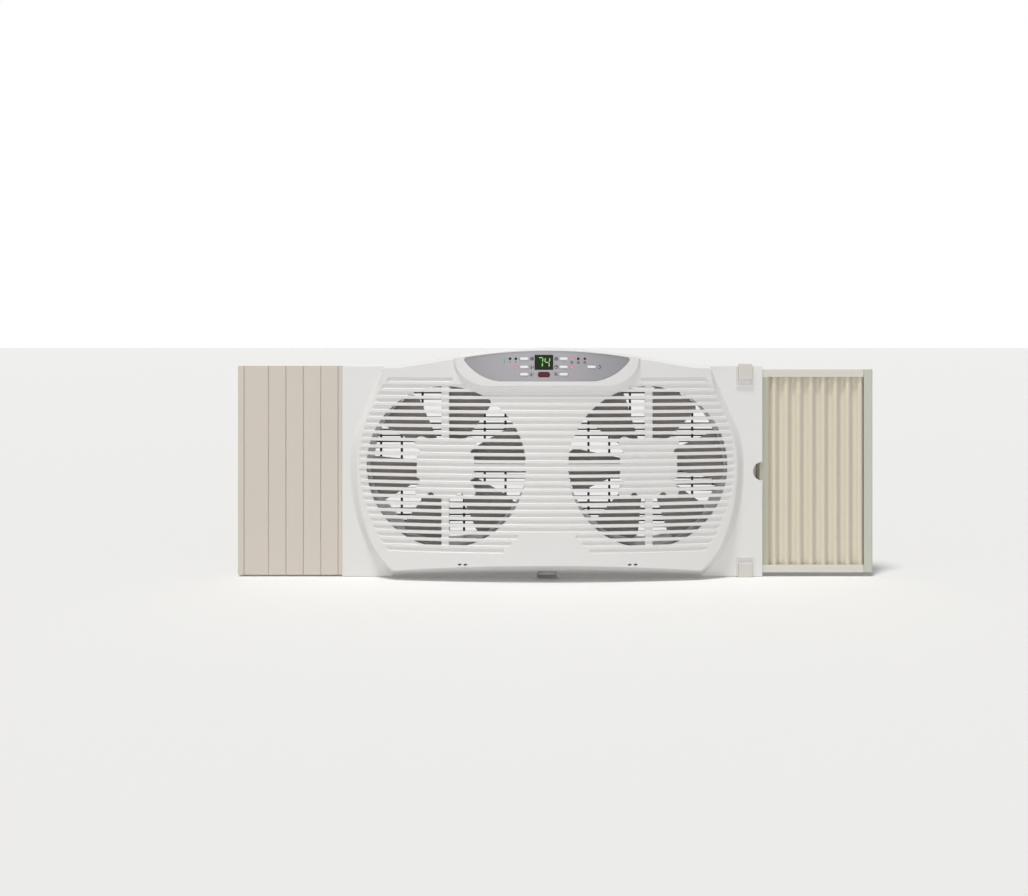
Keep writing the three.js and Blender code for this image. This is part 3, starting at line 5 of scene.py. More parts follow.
import bmesh
import bpy
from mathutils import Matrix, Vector


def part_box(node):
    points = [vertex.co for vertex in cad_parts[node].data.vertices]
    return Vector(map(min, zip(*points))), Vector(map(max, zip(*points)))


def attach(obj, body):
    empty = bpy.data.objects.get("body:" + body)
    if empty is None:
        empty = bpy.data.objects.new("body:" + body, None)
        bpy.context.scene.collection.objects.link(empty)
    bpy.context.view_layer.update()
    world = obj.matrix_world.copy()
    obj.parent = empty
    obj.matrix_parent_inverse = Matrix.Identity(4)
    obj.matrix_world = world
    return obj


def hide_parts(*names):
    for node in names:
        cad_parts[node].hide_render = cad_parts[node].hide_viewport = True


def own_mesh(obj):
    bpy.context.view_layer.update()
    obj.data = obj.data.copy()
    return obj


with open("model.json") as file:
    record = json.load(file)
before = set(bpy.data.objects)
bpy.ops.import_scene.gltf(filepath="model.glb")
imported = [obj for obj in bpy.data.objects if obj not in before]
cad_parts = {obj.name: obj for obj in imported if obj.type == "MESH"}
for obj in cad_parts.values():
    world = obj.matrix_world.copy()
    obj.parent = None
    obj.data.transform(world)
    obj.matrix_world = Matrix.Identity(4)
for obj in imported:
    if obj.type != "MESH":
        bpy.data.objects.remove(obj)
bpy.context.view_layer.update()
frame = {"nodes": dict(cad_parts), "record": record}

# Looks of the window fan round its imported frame. Shapes are written in millimetres:
# X to the right, Y outdoors, Z up, and turned into metres when a mesh is made.
MM = 0.001
FIT = 0.3
# Cutting prisms start at FAR_FRONT, which is well in front of every face.
FAR_FRONT = -100

# ---- dimensions
PLATE, CHANNEL, WALL = 2.4, 11.6, 2.8
PLATE_BACK, PLATE_FRONT = PLATE / 2, -PLATE / 2
FLANGE_BACK = PLATE_FRONT - CHANNEL
FLANGE_FRONT = FLANGE_BACK - WALL
RIM_BACK = PLATE_FRONT - FIT
EDGE_ROUND = 1.5

OPENING_RADIUS, BLADE_RADIUS = 116, 114.5
FAN_X, FAN_Z = OPENING_RADIUS + 30, OPENING_RADIUS + 49
FANS_HALF_WIDTH = FAN_X + OPENING_RADIUS
FLANGE_LEFT, FLANGE_RIGHT = -FANS_HALF_WIDTH - 38, FANS_HALF_WIDTH + 54
FLANGE_HEIGHT = FAN_Z + OPENING_RADIUS + 29
BLADE_COUNT, BLADE_HALF_ANGLE = 6, 18.5
BLADE_PHASE = {"left": 72, "right": 66}

DOME_HALF_WIDTH, DOME_CROWN = FANS_HALF_WIDTH + 27.5, 20
DOME_DEPTH, BOW_RADIUS = 45, 1180
FACET = 20
CHAMFER_START, CHAMFER_RISE = 2, 0.52
SIDE_FILLET, TOP_FILLET, FILLET_BLEND = 14, 4, 40

GROOVE_PITCH, GROOVE_HEIGHT, GROOVE_DEPTH = 10.19, 5.7, 1.4
GROOVE_TOP, GROOVE_COUNT = FLANGE_HEIGHT - 19.6, 25
GROOVE_END_RADIUS, GROOVE_END_HEIGHT = 203, FAN_Z + 3
GROOVE_END_CENTRE = FANS_HALF_WIDTH + 10.5 - GROOVE_END_RADIUS
# Rows that stop beside the bezel or beside the bare place, and where their inner end is.
PARTED_ROWS = {0: 134.5, 1: 117, 22: 41, 23: 50.7, 24: 61.2}
# Towards its end a groove gets shallower: distance from the end, and share of the depth.
RUN_OUT = ((0, 0.1), (1.2, 0.75), (3, 1))
RUN_OUT_LENGTH = 4.5
LOUVRE_DEPTH = 6
SPOKE_WIDTH = 11
HUB_HALF, HUB_LOBE, HUB_LOBE_RADIUS = 41.5, 35, 9
HUB_SCALLOP, HUB_SCALLOP_RADIUS = 21, 5

BEZEL_PROUD, LENS_RECESS, LENS_THICKNESS = 4.6, 1, 1.8
LENS_FORWARD = BEZEL_PROUD - LENS_RECESS
CLUSTER_X = -4.4
# Width, height and middle height of the two windows.
DISPLAY = (26, 21, FLANGE_HEIGHT + 5.5)
RECEIVER = (16.6, 7.3, FLANGE_HEIGHT - 12)
KEY_WIDTH, KEY_HEIGHT, KEY_PROUD = 12.2, 3.8, 0.9
KEY_SOFT, KEY_STEM_RADIUS = 0.7, 1.5
UPPER, MIDDLE, LOWER = FLANGE_HEIGHT + 10.6, FLANGE_HEIGHT - 1, FLANGE_HEIGHT - 11.5
KEY_LEFT, KEY_RIGHT = CLUSTER_X - 28, CLUSTER_X + 28
KEY_POWER, POWER_MARK = 63.4, 74.6
KEY_PLACES = {f"key_{side}_{row}": (x, z)
              for side, x in (("left", KEY_LEFT), ("right", KEY_RIGHT))
              for row, z in (("upper", UPPER), ("middle", MIDDLE), ("lower", LOWER))}
KEY_PLACES["key_power"] = (KEY_POWER, MIDDLE)
# Three lamps beside each upper key, and one beside each middle key.
LAMPS = [
    (-60.9, UPPER, "lamp_green"), (-52.6, UPPER, "lamp_off"), (-44.4, UPPER, "lamp_off"),
    (35.4, UPPER, "lamp_red"), (44.5, UPPER, "lamp_dark_red"), (53.8, UPPER, "lamp_dark_red"),
    (-44.4, MIDDLE - 0.5, "lamp_red"), (35.4, MIDDLE - 0.5, "lamp_red"),
]
LAMP_RADIUS = 1.6

DUCT_RADIUS, DUCT_WALL = OPENING_RADIUS + 1.2, 2.2
DUCT_OUTER = DUCT_RADIUS + DUCT_WALL
REAR_DEPTH, REAR_WALL, REAR_CORNER, REAR_ROUND = 54.4, 2.4, 34, 5
BOX_MARGIN = REAR_WALL + 0.5
BOX_HALF = FAN_X + DUCT_OUTER + BOX_MARGIN
BOX_LOW, BOX_HIGH = FAN_Z - DUCT_OUTER - BOX_MARGIN, FAN_Z + DUCT_OUTER + BOX_MARGIN
DUCT_BACK = REAR_DEPTH - REAR_WALL - FIT
GUARD_PITCH, GUARD_BAR, GUARD_DEPTH = 9.28, 2.2, 2
GUARD_COLUMN_PITCH, GUARD_COLUMN, GUARD_SHORTER = 31.7, 3.4, 1.2
FEET, FOOT_WIDTH = (-190, -60, 60, 190), 5
GLAND_Y, GLAND_Z, GLAND_RADIUS = 30, 96, 6.3
PROP_BACK = 16.4
HUB_RADIUS, HUB_WALL, HUB_ROUND = 30, 2.2, 3
HUB_BORE, HUB_BOSS = 3.4, 6.5
BLADE_SINK = 1.4
BLADE_ROOT_DEPTH, BLADE_TIP_GAIN = 16, 9
BLADE_CAMBER, BLADE_EDGE, BLADE_SWELL = 2.5, 1.1, 1.1
BLADE_TIP_START, BLADE_TIP_NARROWING = 0.9, 0.18

RAIL_HEIGHT, RAIL_TOP, RAIL_BOTTOM = 11.4, FLANGE_HEIGHT - WALL - 2.8, WALL + 3.1
RAIL_GUIDE, GUIDE_LEFT = 2.4, 180
PLEATS, PLEAT_STEPS = 8, 24
PLEAT_SHEET, PLEAT_FILL, PLEAT_ROUND, PLEAT_LEAN = 0.7, 0.96, 0.72, 0.3
STILE_LIP, STILE_FACE = 4, 1.2

CLIP_X, CLIP_WIDTH, CLIP_TRAVEL, CLIP_SKIN = FLANGE_RIGHT - 25.7, 20.6, 4, 1.6
CLIP_TOP = RAIL_TOP + FIT + CLIP_TRAVEL + 4.2
CLIP_FOOT = (CLIP_X - 6 - FIT, CLIP_X + 6 + FIT, FLANGE_BACK + 3 - FIT, FLANGE_BACK + 8 + FIT)
POCKET_RIB, POCKET_PROUD, POCKET_HEIGHT = 1.8, 2, 29

# Cut-outs of the front cover; the bay and the sill notch as left, bottom, right and top.
BOARD_BAY, BAY_BACK = (-76, FLANGE_HEIGHT - 17, 76, FLANGE_HEIGHT + 16), -50
SILL_NOTCH, NOTCH_ROUND = (-14, -10, 14, 13), 3
FINGER_NOTCH_RADIUS, FINGER_NOTCH_FRONT = 13.7, -30
LATCH_SLOTS, LATCH_BACK = (-125, -116.7, 118.4, 127), -36
LATCH_HALF, LATCH_LOW, LATCH_HIGH, LATCH_ROUND = 2.4, 24.5, 27, 0.8

SCREW_HOLE, MOTOR_SCREW_DEPTH, COVER_SCREW_FRONT = 2, 5.2, -9.8
BOSS_RADIUS, POST_RADIUS = 4.6, 3
MOTOR_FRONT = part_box("motor_stator_left")[0][1] / MM - 9.6
MOTOR_SCREWS = [(x + u * HUB_LOBE, FAN_Z + v * HUB_LOBE)
                for x in (-FAN_X, FAN_X) for u in (-1, 1) for v in (-1, 1)]
SIDE_SCREWS = [(u * (FANS_HALF_WIDTH + 6), FAN_Z + v * (OPENING_RADIUS - 3))
               for u in (-1, 1) for v in (-1, 1)]
MIDDLE_SCREWS = [(0, FLANGE_HEIGHT - WALL - BOSS_RADIUS + 0.4), (0, 20)]
COVER_SCREWS = SIDE_SCREWS + MIDDLE_SCREWS
BOARD_POSTS = [(x, z, -54.3) for x in (-80, 80) for z in (FLANGE_HEIGHT - 21, FLANGE_HEIGHT + 2)]
BOARD_POSTS += [(x, z, -49.9) for x in (-33, 33) for z in (59, 95)]


def bow_reach(x):
    """Forward reach of the face, which is bowed in plan and made of narrow facets."""
    station = math.floor(abs(x) / FACET)
    near, far = ((s * FACET) ** 2 / (2 * BOW_RADIUS) for s in (station, station + 1))
    return DOME_DEPTH - near - (far - near) * (abs(x) / FACET - station)


def face_y(x, forward=0.0):
    """Where the bowed face is at x, or a face that stands in front of it."""
    return FLANGE_FRONT - bow_reach(x) - forward


# ---- shells and solids
def new_object(name, data):
    thing = bpy.data.objects.new(name, data)
    bpy.context.scene.collection.objects.link(thing)
    return thing


def apply(thing, modifier):
    bpy.context.view_layer.objects.active = thing
    bpy.ops.object.modifier_apply(modifier=modifier.name)
    return thing


class Shell:
    """Closed shells gathered into one mesh."""

    def __init__(self):
        self.vertices = []
        self.faces = []

    def add(self, vertices, faces):
        offset = len(self.vertices)
        self.vertices += vertices
        self.faces += [[i + offset for i in face] for face in faces]
        return self

    def loft(self, rings):
        count = len(rings[0])
        faces = []
        for ring in range(len(rings) - 1):
            for i in range(count):
                j = (i + 1) % count
                a, b = ring * count + i, ring * count + j
                faces.append([a, b, b + count, a + count])
        faces.append(list(range(count))[::-1])
        faces.append([(len(rings) - 1) * count + i for i in range(count)])
        return self.add([point for ring in rings for point in ring], faces)

    def prism(self, outline, low, high, axis="Y"):
        place = {
            "X": lambda u, v, w: (w, u, v),
            "Y": lambda u, v, w: (u, w, v),
            "Z": lambda u, v, w: (u, v, w),
        }[axis]
        return self.loft([[place(u, v, w) for u, v in outline] for w in (low, high)])

    def box(self, x0, y0, z0, x1, y1, z1):
        return self.prism([(x0, y0), (x1, y0), (x1, y1), (x0, y1)], z0, z1, "Z")

    def turned(self, profile, x, z, steps=64):
        """A closed profile of (radius, y) turned about an axis along Y."""
        rings = []
        for i in range(steps):
            angle = math.tau * i / steps
            rings.append([(x + r * math.cos(angle), y, z + r * math.sin(angle))
                          for r, y in profile])
        count = len(profile)
        faces = []
        for i in range(steps):
            for j in range(count):
                k = (j + 1) % count
                n = (i + 1) % steps
                faces.append([i * count + j, n * count + j, n * count + k, i * count + k])
        return self.add([point for ring in rings for point in ring], faces)

    def build(self, name):
        mesh = bpy.data.meshes.new(name)
        vertices = [[value * MM for value in vertex] for vertex in self.vertices]
        mesh.from_pydata(vertices, [], self.faces)
        bm = bmesh.new()
        bm.from_mesh(mesh)
        bmesh.ops.remove_doubles(bm, verts=bm.verts, dist=1e-7)
        bmesh.ops.recalc_face_normals(bm, faces=bm.faces)
        bm.to_mesh(mesh)
        bm.free()
        return new_object(name, mesh)


def boolean(target, tool, operation):
    modifier = target.modifiers.new("solid", "BOOLEAN")
    modifier.operation = operation
    modifier.solver = "MANIFOLD"
    modifier.object = tool
    apply(target, modifier)
    bpy.data.objects.remove(tool)
    return target


def union(target, *tools):
    for tool in tools:
        boolean(target, tool, "UNION")
    return target


def cut(target, *tools):
    for tool in tools:
        boolean(target, tool, "DIFFERENCE")
    return target


def common(target, tool):
    return boolean(target, tool, "INTERSECT")


def smooth(thing, angle=30):
    for polygon in thing.data.polygons:
        polygon.use_smooth = True
    thing.data.set_sharp_from_angle(angle=math.radians(angle))
    modifier = thing.modifiers.new("even shading", "WEIGHTED_NORMAL")
    modifier.keep_sharp = True
    return apply(thing, modifier)


# ---- outlines
def polar(u, v, radius, degrees):
    angle = math.radians(degrees)
    return (u + radius * math.cos(angle), v + radius * math.sin(angle))


def quarter(steps):
    """Cosine and sine at even steps over a quarter turn."""
    angles = [math.pi / 2 * i / steps for i in range(steps + 1)]
    return [(math.cos(angle), math.sin(angle)) for angle in angles]


def disc(u, v, radius, steps=32):
    return [polar(u, v, radius, 360 * i / steps) for i in range(steps)]


def discs(shell, places, radius, steps, low, high):
    for x, z in places:
        shell.prism(disc(x, z, radius, steps), low, high)
    return shell


def rectangle(u0, v0, u1, v1):
    return [(u0, v0), (u1, v0), (u1, v1), (u0, v1)]


def rounded(u0, v0, u1, v1, radius, steps=8):
    corners = [(u1 - radius, v0 + radius, -90), (u1 - radius, v1 - radius, 0),
               (u0 + radius, v1 - radius, 90), (u0 + radius, v0 + radius, 180)]
    return [polar(u, v, radius, start + 90 * i / steps)
            for u, v, start in corners for i in range(steps + 1)]


def spline(points, steps):
    """Catmull-Rom curve through the points, with the same number of steps in each span."""
    padded = [points[0]] + list(points) + [points[-1]]
    curve = []
    for i in range(1, len(padded) - 2):
        p0, p1, p2, p3 = padded[i - 1:i + 3]
        for step in range(steps):
            t = step / steps
            curve.append(tuple(0.5 * (2 * b + (c - a) * t + (2 * a - 5 * b + 4 * c - d) * t * t
                                      + (3 * b - a - 3 * c + d) * t ** 3)
                               for a, b, c, d in zip(p0, p1, p2, p3)))
    curve.append(tuple(points[-1]))
    return curve


def mirrored(right_half):
    """Closes an outline that runs up the right side and ends on the mirror plane."""
    return right_half + [(-p[0],) + tuple(p[1:]) for p in right_half if p[0] > 1e-6][::-1]


def inset(outline, distance):
    """The outline moved inwards; what a point holds besides its place stays with it."""
    moved = []
    for i, point in enumerate(outline):
        before, after = outline[i - 1], outline[(i + 1) % len(outline)]
        dx, dz = after[0] - before[0], after[1] - before[1]
        length = math.hypot(dx, dz)
        moved.append((point[0] - dz / length * distance,
                      point[1] + dx / length * distance) + tuple(point[2:]))
    return moved


def flat(outline):
    return [(p[0], p[1]) for p in outline]


def dome_outline():
    """Foot of the bowed field, with the width of its side fillet at each point."""
    side = [(67.5, -0.013), (35.5, 0.09), (17.5, 0.2), (5.5, 0.335),
            (0, 0.5), (4, 0.652), (20.5, 0.794), (51.5, 1)]
    crown = [(77.5, 0.05), (117.5, 0.375), (155.5, 0.675), (222.5, 0.925), (DOME_HALF_WIDTH, 1)]
    through = [(DOME_HALF_WIDTH - inwards, share * FLANGE_HEIGHT) for inwards, share in side]
    right = []
    for x, z in spline(through, 5):
        near_top = min(1, max(0, (z - FLANGE_HEIGHT + FILLET_BLEND) / FILLET_BLEND))
        near_top = near_top * near_top * (3 - 2 * near_top)
        right.append((x, z, SIDE_FILLET + (TOP_FILLET - SIDE_FILLET) * near_top))
    through = [(DOME_HALF_WIDTH - inwards, FLANGE_HEIGHT + share * DOME_CROWN)
               for inwards, share in crown]
    return mirrored(right + [(x, z, TOP_FILLET) for x, z in spline(through, 4)])


def bezel_outline():
    """Foot of the bezel round the control panel, with its fillet at each point."""
    right = spline([(84, -36.5, 8), (104, -32.5, 8), (121, -23, 8),
                    (131, -10, 6), (135, 3, 5), (133.5, 12, 3)], 4)
    top = spline([(128, 15.2, 3), (88, 20.8, 3), (44, 25, 3), (0, 26.8, 3)], 5)
    return mirrored([(x, FLANGE_HEIGHT + rise, fillet) for x, rise, fillet in right + top])


def lens_outline():
    end = spline([(68, -21.2), (80, -18.8), (97, -11.1), (111, 0.3), (118, 9)], 5)
    arch = spline([(116.4, 11.9), (80, 17), (40, 20.3), (0, 21.4)], 5)
    return mirrored([(x, FLANGE_HEIGHT + rise) for x, rise in end + arch])


# ---- front cover
def behind_face(setback):
    """Everything behind the bowed face moved back by setback."""
    stations = range(-300, 301, FACET)
    outline = [(x, face_y(x) + setback) for x in stations] + [(300, 200), (-300, 200)]
    return Shell().prism(outline, -20, FLANGE_HEIGHT + 60, "Z").build("behind")


def above_chamfer(lift):
    """Everything over the chamfer below the louvred field, raised by lift."""
    reach, low = DOME_DEPTH + 30, CHAMFER_START + lift
    high = FLANGE_HEIGHT + 60
    front, back = FLANGE_FRONT - reach, FLANGE_FRONT + 100
    outline = [(front, low + reach * CHAMFER_RISE), (FLANGE_FRONT, low),
               (back, low), (back, high), (front, high)]
    return Shell().prism(outline, -320, 320, "X").build("above")


def mound(outline, skin, proud, back, foot_rise):
    """A body whose side sweeps up from its foot onto the bowed face."""
    foot = inset(outline, skin)
    inward = inset(outline, 1)
    steps = 10

    def ring(share, height):
        points = []
        for at, start, step in zip(foot, outline, inward):
            x = at[0] + (step[0] - start[0]) * start[2] * share
            z = at[1] + (step[1] - start[1]) * start[2] * share
            points.append((x, FLANGE_FRONT - height(x), z))
        return points

    rings = [ring(0, lambda x: -back)]
    for i in range(steps + 1):
        share = i / steps
        rise = share * share * (3 - 2 * share)
        rings.append(ring(share, lambda x: foot_rise(x)
                          + (bow_reach(x) + proud - foot_rise(x)) * rise))
    rings.append(ring(1.3, lambda x: DOME_DEPTH + 30))
    return common(Shell().loft(rings).build("mound"), behind_face(-proud))


def groove_end(z):
    """Where the arc lies on which the grooves end."""
    return GROOVE_END_CENTRE + math.sqrt(GROOVE_END_RADIUS ** 2 - (z - GROOVE_END_HEIGHT) ** 2)


def groove_spans():
    """Row height, left end and right end of every groove; ends that follow the arc are None."""
    for row in range(GROOVE_COUNT):
        z = GROOVE_TOP - row * GROOVE_PITCH
        if row in PARTED_ROWS:
            yield z, None, -PARTED_ROWS[row]
            yield z, PARTED_ROWS[row], None
        else:
            yield z, None, None


def groove_cutter(shell, z, left, right):
    """A groove with a rounded mouth and run-out ends, following the bow."""
    half = GROOVE_HEIGHT / 2
    upper = [(GROOVE_DEPTH, half - 0.6), (1, half - 0.12), (0.35, half),
             (-0.05, half + 0.45), (-4, half + 0.55)]
    profile = upper[-1:] + [(depth, -dz) for depth, dz in upper[::-1]] + upper[:-1]

    def ring(x_of, share):
        points = []
        for depth, dz in profile:
            x = x_of(z + dz)
            points.append((x, face_y(x) + (depth if depth < 0 else depth * share), z + dz))
        return points

    def ends(limit, sign):
        if limit is None:
            return lambda back: (lambda height: sign * (groove_end(height) - back))
        return lambda back: (lambda height: limit - sign * back)

    left_end, right_end = ends(left, -1), ends(right, 1)
    first = (left if left is not None else -groove_end(z)) + RUN_OUT_LENGTH
    last = (right if right is not None else groove_end(z)) - RUN_OUT_LENGTH
    rings = [ring(left_end(back), share) for back, share in RUN_OUT]
    start = math.ceil(first / FACET) * FACET
    for x in range(start, math.floor(last / FACET) * FACET + 1, FACET):
        rings.append(ring(lambda height, at=x: at, 1))
    rings += [ring(right_end(back), share) for back, share in RUN_OUT[::-1]]
    shell.loft(rings)


def opening_holes(x):
    """The round opening less its hub plate and spokes."""
    front, back = FAR_FRONT, 0
    half, lobe, scallop = HUB_HALF, HUB_LOBE, HUB_SCALLOP
    plate = rectangle(x - half, FAN_Z - half, x + half, FAN_Z + half)
    hub = Shell().prism(plate, front, back).build("hub")
    nips, lobes, scallops = Shell(), Shell(), Shell()
    for u in (-1, 1):
        for v in (-1, 1):
            nips.prism(disc(x + u * half, FAN_Z + v * half, HUB_LOBE_RADIUS), front, back)
            lobes.prism(disc(x + u * lobe, FAN_Z + v * lobe, HUB_LOBE_RADIUS), front, back)
            for across, up in ((half, scallop), (scallop, half)):
                notch = disc(x + u * across, FAN_Z + v * up, HUB_SCALLOP_RADIUS, 24)
                scallops.prism(notch, front, back)
    cut(hub, nips.build("nips"), scallops.build("scallops"))
    reach = OPENING_RADIUS + 5
    inner = x - math.copysign(reach, x)
    upright = rectangle(x - SPOKE_WIDTH / 2, FAN_Z - reach, x + SPOKE_WIDTH / 2, FAN_Z + reach)
    level = rectangle(min(x, inner), FAN_Z - GROOVE_PITCH / 2,
                      max(x, inner), FAN_Z + GROOVE_PITCH / 2)
    union(hub, lobes.build("lobes"), Shell().prism(upright, front - 1, back + 1).build("upright"),
          Shell().prism(level, front - 1, back + 1).build("level"))
    opening = Shell().prism(disc(x, FAN_Z, OPENING_RADIUS, 128), front, back).build("opening")
    return cut(opening, hub)


def flange_body():
    """The flat plate of the cover with its upper and lower rims."""
    def corner(z, sign):
        return [(FLANGE_FRONT + EDGE_ROUND * (1 - cosine), z + sign * EDGE_ROUND * sine)
                for cosine, sine in quarter(5)]

    low, high = corner(EDGE_ROUND, -1), corner(FLANGE_HEIGHT - EDGE_ROUND, 1)
    under_top = FLANGE_HEIGHT - WALL
    back = [(RIM_BACK, 0), (RIM_BACK, WALL), (FLANGE_BACK, WALL),
            (FLANGE_BACK, under_top), (RIM_BACK, under_top), (RIM_BACK, FLANGE_HEIGHT)]
    outline = low + back + high[::-1]
    return Shell().prism(outline, FLANGE_LEFT, FLANGE_RIGHT, "X").build("front_cover_skin")


def clip_pockets():
    """Raised ribs round the two lock clips, open towards the flange's edge."""
    left, right = CLIP_X - CLIP_WIDTH / 2 - FIT, CLIP_X + CLIP_WIDTH / 2 + FIT
    outer_left, outer_right = left - POCKET_RIB, right + POCKET_RIB
    front, back = FLANGE_FRONT - POCKET_PROUD, FLANGE_FRONT + 0.5
    pockets = Shell()
    high = FLANGE_HEIGHT - EDGE_ROUND
    low = high - POCKET_HEIGHT
    floor = low + POCKET_RIB
    pockets.prism([(outer_left, low), (outer_right, low), (outer_right, high), (right, high),
                   (right, floor), (left, floor), (left, high), (outer_left, high)], front, back)
    low, high = EDGE_ROUND, EDGE_ROUND + POCKET_HEIGHT
    ceiling = high - POCKET_RIB
    pockets.prism([(outer_left, low), (left, low), (left, ceiling), (right, ceiling),
                   (right, low), (outer_right, low), (outer_right, high), (outer_left, high)],
                  front, back)
    return pockets.build("pockets")


def cover_hollow(outline, bezel):
    """What is empty behind the skin, less the backing of the louvres and the bosses."""
    floor = WALL * 1.15
    hollow = common(mound(outline, WALL, -WALL, 0, lambda x: 0), above_chamfer(floor))
    bay = Shell().prism(flat(inset(bezel, WALL + 1)), FAR_FRONT, FLANGE_FRONT).build("bay")
    mouth = Shell().prism(flat(inset(outline, WALL)), FLANGE_FRONT - 1, FLANGE_BACK + 1)
    limit = Shell().box(-FLANGE_RIGHT, -40, CHAMFER_START + floor,
                        FLANGE_RIGHT, 0, FLANGE_HEIGHT - WALL - 2)
    union(hollow, common(bay, behind_face(WALL)),
          common(mouth.build("mouth"), limit.build("limit")))
    for x in (-FAN_X, FAN_X):
        backing = Shell().prism(disc(x, FAN_Z, OPENING_RADIUS + DUCT_WALL, 96),
                                FAR_FRONT, FLANGE_BACK + 50).build("backing")
        cut(hollow, cut(backing, behind_face(LOUVRE_DEPTH)))
    columns = discs(Shell(), MOTOR_SCREWS, BOSS_RADIUS, 24, FAR_FRONT, MOTOR_FRONT)
    for x, z, back in BOARD_POSTS:
        columns.prism(disc(x, z, POST_RADIUS, 16), FAR_FRONT, back)
    lower = [(x, z) for x, z in COVER_SCREWS if z < FAN_Z]
    discs(columns, lower, BOSS_RADIUS, 24, FAR_FRONT, 0)
    return cut(hollow, columns.build("columns"))


def cut_louvres(body):
    """Grooves over the whole field, which are through slots within the two openings."""
    grooves, slots = Shell(), Shell()
    half = GROOVE_HEIGHT / 2
    for z, left, right in groove_spans():
        groove_cutter(grooves, z, left, right)
        left = FLANGE_LEFT if left is None else left
        right = FLANGE_RIGHT if right is None else right
        slots.prism(rectangle(left, z - half, right, z + half), FAR_FRONT + 1, -1)
    cut(body, grooves.build("grooves"))
    openings = union(opening_holes(-FAN_X), opening_holes(FAN_X))
    cut(body, common(openings, slots.build("slots")))


def cover_clearances():
    """Board bay, sill and finger notches, latch slots, and room for clips and screws."""
    holes = Shell()
    holes.prism(rectangle(*BOARD_BAY), FAR_FRONT, BAY_BACK)
    holes.prism(rounded(*SILL_NOTCH, NOTCH_ROUND), FAR_FRONT, 0)
    finger = disc(FLANGE_RIGHT, FLANGE_HEIGHT / 2, FINGER_NOTCH_RADIUS, 48)
    holes.prism(finger, FINGER_NOTCH_FRONT, FLANGE_BACK + 0.5)
    for x in LATCH_SLOTS:
        latch = rounded(x - LATCH_HALF, LATCH_LOW, x + LATCH_HALF, LATCH_HIGH, LATCH_ROUND, 3)
        holes.prism(latch, FAR_FRONT, LATCH_BACK)
    left, right, front, back = CLIP_FOOT
    low = CLIP_TOP - CLIP_SKIN - CLIP_TRAVEL - FIT
    foot, high = FLANGE_HEIGHT - WALL - 1, FLANGE_HEIGHT + 1
    holes.prism([(FLANGE_FRONT - 1, low), (front, low), (front, foot), (back, foot),
                 (back, high), (FLANGE_FRONT - 1, high)], left, right, "X")
    holes.box(CLIP_X - CLIP_WIDTH / 2 - FIT, FLANGE_FRONT - 1, -1,
              CLIP_X + CLIP_WIDTH / 2 + FIT, back, CLIP_SKIN + CLIP_TRAVEL + FIT)
    discs(holes, MOTOR_SCREWS, SCREW_HOLE, 16, MOTOR_FRONT - MOTOR_SCREW_DEPTH, MOTOR_FRONT + 1)
    discs(holes, COVER_SCREWS, SCREW_HOLE, 16, COVER_SCREW_FRONT, 0)
    return holes.build("clearances")


def front_cover():
    """Flange, bowed field and bezel in one, hollowed, louvred and fitted to its neighbours."""
    outline, bezel = dome_outline(), bezel_outline()
    body = flange_body()
    dome = common(mound(outline, 0, 0, WALL, lambda x: 0), above_chamfer(0))
    rim = mound(bezel, 0, BEZEL_PROUD, WALL, lambda x: bow_reach(x) - 0.5)
    union(body, dome, rim)
    cut(body, cover_hollow(outline, bezel))
    cut_louvres(body)

    bosses = discs(Shell(), COVER_SCREWS, BOSS_RADIUS, 24, FLANGE_FRONT + 1, RIM_BACK)
    union(body, bosses.build("bosses"))
    seat = Shell().prism(flat(inset(lens_outline(), -FIT)), FAR_FRONT, 0).build("seat")
    cut(body, cut(seat, behind_face(-(LENS_FORWARD - LENS_THICKNESS - FIT))))
    cut(body, cover_clearances())
    union(body, clip_pockets())
    return smooth(body, 32)


# ---- control panel
def oval(x, z, grow=0.0):
    width, height = KEY_WIDTH / 2 + grow, KEY_HEIGHT / 2 + grow
    return rounded(x - width, z - height, x + width, z + height, height * 0.98)


def control_lens():
    sheet = Shell().prism(lens_outline(), FAR_FRONT, 0).build("control_lens_skin")
    cut(common(sheet, behind_face(-LENS_FORWARD)), behind_face(LENS_THICKNESS - LENS_FORWARD))
    holes = Shell()
    for x, z in KEY_PLACES.values():
        holes.prism(oval(x, z, FIT), FAR_FRONT, 0)
    discs(holes, [place[:2] for place in LAMPS], LAMP_RADIUS + FIT, 24, FAR_FRONT, 0)
    for (width, height, z), radius, steps in ((DISPLAY, 0.5, 3), (RECEIVER, 3, 6)):
        window = rounded(CLUSTER_X - width / 2 - FIT, z - height / 2 - FIT,
                         CLUSTER_X + width / 2 + FIT, z + height / 2 + FIT, radius, steps)
        holes.prism(window, FAR_FRONT, 0)
    return smooth(cut(sheet, holes.build("holes")))


def key_cap(name, x, z):
    """Oval cap with a softly rounded face, its lip and its stem."""
    front = face_y(x, LENS_FORWARD) - KEY_PROUD
    rings = []
    for cosine, sine in quarter(4)[::-1]:
        y = front + KEY_SOFT * (1 - sine)
        rings.append([(u, y, v) for u, v in oval(x, z, KEY_SOFT * (cosine - 1))])
    lip = face_y(x, LENS_FORWARD) + LENS_THICKNESS + FIT + 0.6
    for depth, grow in ((0, 0), (0, 0.9), (1, 0.9)):
        rings.append([(u, lip + depth, v) for u, v in oval(x, z, grow)])
    stem = Shell().prism(disc(x, z, KEY_STEM_RADIUS, 16), lip + 0.5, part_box(name)[1][1] / MM)
    cap = Shell().loft(rings).build(name + "_cap")
    return smooth(union(cap, stem.build("stem")), 40)


